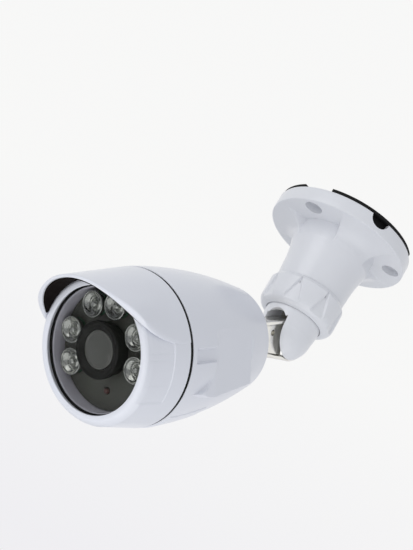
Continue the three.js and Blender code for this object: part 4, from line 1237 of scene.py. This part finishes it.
sensor_spot = (0, -SENSOR_REACH)
head_piece(
    "mask", [turned(mask_section, 160, spacing=20)], "dark_mask", ["mask_plate"],
    cutters=[
        *[mask_hole(LAMP_RADIUS * MASK_HOLE_SHARE, 48, lamp_spot(a)) for a in LAMP_ANGLES],
        mask_hole(SENSOR_RADIUS + CLEARANCE, 32, sensor_spot),
    ],
)


def lamp_section():
    """Lamp lens, as a closed line that starts and ends on the axis: a flank that flares with the square
    root of the height, a half circle for the rim, and a bowl with a dome in its middle and a ring-shaped
    groove round it, both bell curves of the radius."""
    t = np.linspace(0, 1, 20)
    flare = LAMP_FOOT_RADIUS + (LAMP_RADIUS - LAMP_FOOT_RADIUS) * np.sqrt(t)
    flank = np.stack([flare, LAMP_FOOT + (LAMP_FACE - LAMP_FOOT) * t], -1)
    a = np.linspace(0, math.pi, 9)[1:]
    rim = np.stack([LAMP_RADIUS - LAMP_RIM + LAMP_RIM * np.cos(a), LAMP_FACE + LAMP_RIM * np.sin(a)], -1)
    edge = LAMP_RADIUS - LAMP_LIP
    r = np.linspace(edge, 0, 40)
    bowl = LAMP_FACE - LAMP_BOWL * (1 - (r / edge) ** 2) ** LAMP_BOWL_POWER
    dome = LAMP_DOME * np.exp(-(r / LAMP_DOME_RADIUS) ** 4)
    groove = LAMP_GROOVE * np.exp(-((r - LAMP_GROOVE_RADIUS) / LAMP_GROOVE_WIDTH) ** 2)
    face = np.stack([r, bowl + (dome - groove)], -1)
    return np.concatenate([[(0, LAMP_FOOT)], flank, rim, face])


for k, angle in enumerate(LAMP_ANGLES):
    lamp = (swept(lamp_section(), all_round(64), lamp_spot(angle)), True, False)
    head_piece(f"lamp_lens_{k + 1}", [lamp], "clear_lens", [f"led_cup_{k + 1}"], finish=lamp_bowl)

board_top = LAMP_BOARD_FACE + CLEARANCE
shroud_section = [
    (SHROUD_BORE, board_top, 0), (SHROUD_NECK, board_top, 0), (SHROUD_NECK, SHROUD_FLANGE, 0),
    (SHROUD_RADIUS, SHROUD_FLANGE, EDGE_ROUND), (SHROUD_RADIUS, SHROUD_FRONT, SHROUD_ROUND),
    (SHROUD_RADIUS - SHROUD_LAND, SHROUD_FRONT, EDGE_ROUND), (SHROUD_BORE, LENS_RIM, FINE_ROUND),
]
head_piece("lens_ring", [turned(shroud_section, 128)], "black_plastic", ["lens_shroud"])


def lens_section():
    """Front element: a dome that falls with the square of the radius, with a raised rim, closed below."""
    r = np.linspace(0, LENS_RADIUS, 40)
    rise = LENS_SAG * (1 - (r / LENS_RADIUS) ** 2) + LENS_LIP * softly(*LENS_LIP_RAMP, r)
    top = np.stack([r, LENS_RIM - CLEARANCE + rise], -1)
    return np.concatenate([top, [(LENS_RADIUS, LENS_BACK), (0, LENS_BACK)]])


lens = (swept(lens_section(), all_round(96)), True, False)
head_piece("lens", [lens], "lens_glass", ["lens_glass"])


def sensor_section():
    """Light sensor: a post with a half ball on top."""
    a = np.linspace(0, math.pi / 2, 12)
    ball = np.stack([SENSOR_RADIUS * np.cos(a), MASK_FACE + HAIR + SENSOR_RADIUS * np.sin(a)], -1)
    return np.concatenate([[(0, board_top), (SENSOR_RADIUS, board_top)], ball])


sensor = (swept(sensor_section(), all_round(48), sensor_spot), True, False)
head_piece("light_sensor", [sensor], "sensor_eye", ["photocell"])

swivel_top = -ARM_LENGTH - CLEARANCE
swivel_section = box_section(
    STUD_RADIUS + CLEARANCE, ARM_FLANGE, swivel_top - SWIVEL_SEAL, swivel_top, OUTER_FINE,
)
add_piece("swivel_seal", [turned(swivel_section, 96)], TILTED, "arm", "black_rubber", ["swivel_washer"])


# Floor, world, lights and camera

def make_floor():
    """A plain pale square under the object."""
    material = bpy.data.materials.new("pale_floor")
    material.use_nodes = True
    shader = material.node_tree.nodes["Principled BSDF"]
    shader.inputs["Base Color"].default_value = (*FLOOR_COLOUR, 1)
    shader.inputs["Roughness"].default_value = FLOOR_ROUGH
    shader.inputs["Specular IOR Level"].default_value = FLOOR_GLOSS
    corners = [(-1, -1), (1, -1), (1, 1), (-1, 1)]
    places = [(x * FLOOR_REACH, y * FLOOR_REACH, -FLOOR_DROP * MM) for x, y in corners]
    mesh = bpy.data.meshes.new("floor")
    mesh.from_pydata(places, [], [(0, 1, 2, 3)])
    mesh.materials.append(material)
    floor = bpy.data.objects.new("floor", mesh)
    bpy.context.scene.collection.objects.link(floor)


make_floor()


def make_world():
    """Even soft light, and a near-white background for what the camera, gloss and glass see."""
    world = bpy.data.worlds.new("studio")
    world.use_nodes = True
    tree = world.node_tree
    tree.nodes.clear()
    where = tree.nodes.new("ShaderNodeTexCoord")
    split = node(tree, "ShaderNodeSeparateXYZ", [(where.outputs["Generated"], 0)])
    height = node(tree, "ShaderNodeMapRange", [(split.outputs[2], "Value")])
    height.inputs["From Min"].default_value = SEEN_HEIGHTS[0]
    height.inputs["From Max"].default_value = SEEN_HEIGHTS[1]
    seen_colour = node(tree, "ShaderNodeMix", [(height.outputs[0], "Factor")], data_type="RGBA")
    seen_colour.inputs[6].default_value = (*SEEN_LOW, 1)
    seen_colour.inputs[7].default_value = (*SEEN_HIGH, 1)
    seen = node(tree, "ShaderNodeBackground", [(seen_colour.outputs[2], "Color")])
    soft = tree.nodes.new("ShaderNodeBackground")
    soft.inputs["Color"].default_value = (*SOFT_COLOUR, 1)
    soft.inputs["Strength"].default_value = SOFT_STRENGTH
    path = tree.nodes.new("ShaderNodeLightPath")
    first_links = [(path.outputs["Is Camera Ray"], 0), (path.outputs["Is Glossy Ray"], 1)]
    first = node(tree, "ShaderNodeMath", first_links, operation="MAXIMUM")
    direct_links = [(first.outputs[0], 0), (path.outputs["Is Transmission Ray"], 1)]
    direct = node(tree, "ShaderNodeMath", direct_links, operation="MAXIMUM")
    mix_links = [(direct.outputs[0], 0), (soft.outputs[0], 1), (seen.outputs[0], 2)]
    mix = node(tree, "ShaderNodeMixShader", mix_links)
    out = tree.nodes.new("ShaderNodeOutputWorld")
    tree.links.new(mix.outputs[0], out.inputs[0])
    bpy.context.scene.world = world


make_world()

RIGHT, UP, AHEAD = (np.array(v) for v in (CAMERA_RIGHT, CAMERA_UP, CAMERA_AHEAD))


def soft_box(name, right, up, towards, distance, size, watts):
    """A square lamp that faces the object from a direction given as shares of the camera's axes."""
    direction = right * RIGHT + up * UP - towards * AHEAD
    direction = direction / np.linalg.norm(direction)
    lamp = bpy.data.lights.new(name, "AREA")
    lamp.shape = "SQUARE"
    lamp.size = size
    lamp.energy = watts
    holder = bpy.data.objects.new(name, lamp)
    holder.visible_camera = False
    bpy.context.scene.collection.objects.link(holder)
    z = direction
    x = np.cross(UP, z)
    x = x / np.linalg.norm(x)
    y = np.cross(z, x)
    place = np.array(LIT_PLACE) * MM + direction * distance
    holder.matrix_world = Matrix([[x[i], y[i], z[i], place[i]] for i in range(3)] + [[0, 0, 0, 1]])
    return holder


soft_box("upper_box", right=-0.5, up=0.8, towards=0.6, distance=1.3, size=0.9, watts=3.6)
soft_box("lower_box", right=-0.35, up=-0.75, towards=0.55, distance=0.48, size=0.7, watts=1.3)

photo_lens = bpy.data.cameras.new("photo_lens")
photo_lens.sensor_fit = "AUTO"
photo_lens.sensor_width = FILM_WIDTH
photo_lens.lens = LENS_PIXELS / PHOTO_HEIGHT * FILM_WIDTH
photo_lens.clip_start = CLIP_NEAR
photo_lens.clip_end = CLIP_FAR
photo_camera = bpy.data.objects.new("photo_camera", photo_lens)
bpy.context.scene.collection.objects.link(photo_camera)
photo_camera.matrix_world = Matrix(
    [[RIGHT[i], UP[i], -AHEAD[i], CAMERA_PLACE[i] * MM] for i in range(3)] + [[0, 0, 0, 1]])
bpy.context.scene.camera = photo_camera
bpy.context.scene.view_settings.view_transform = "Standard"
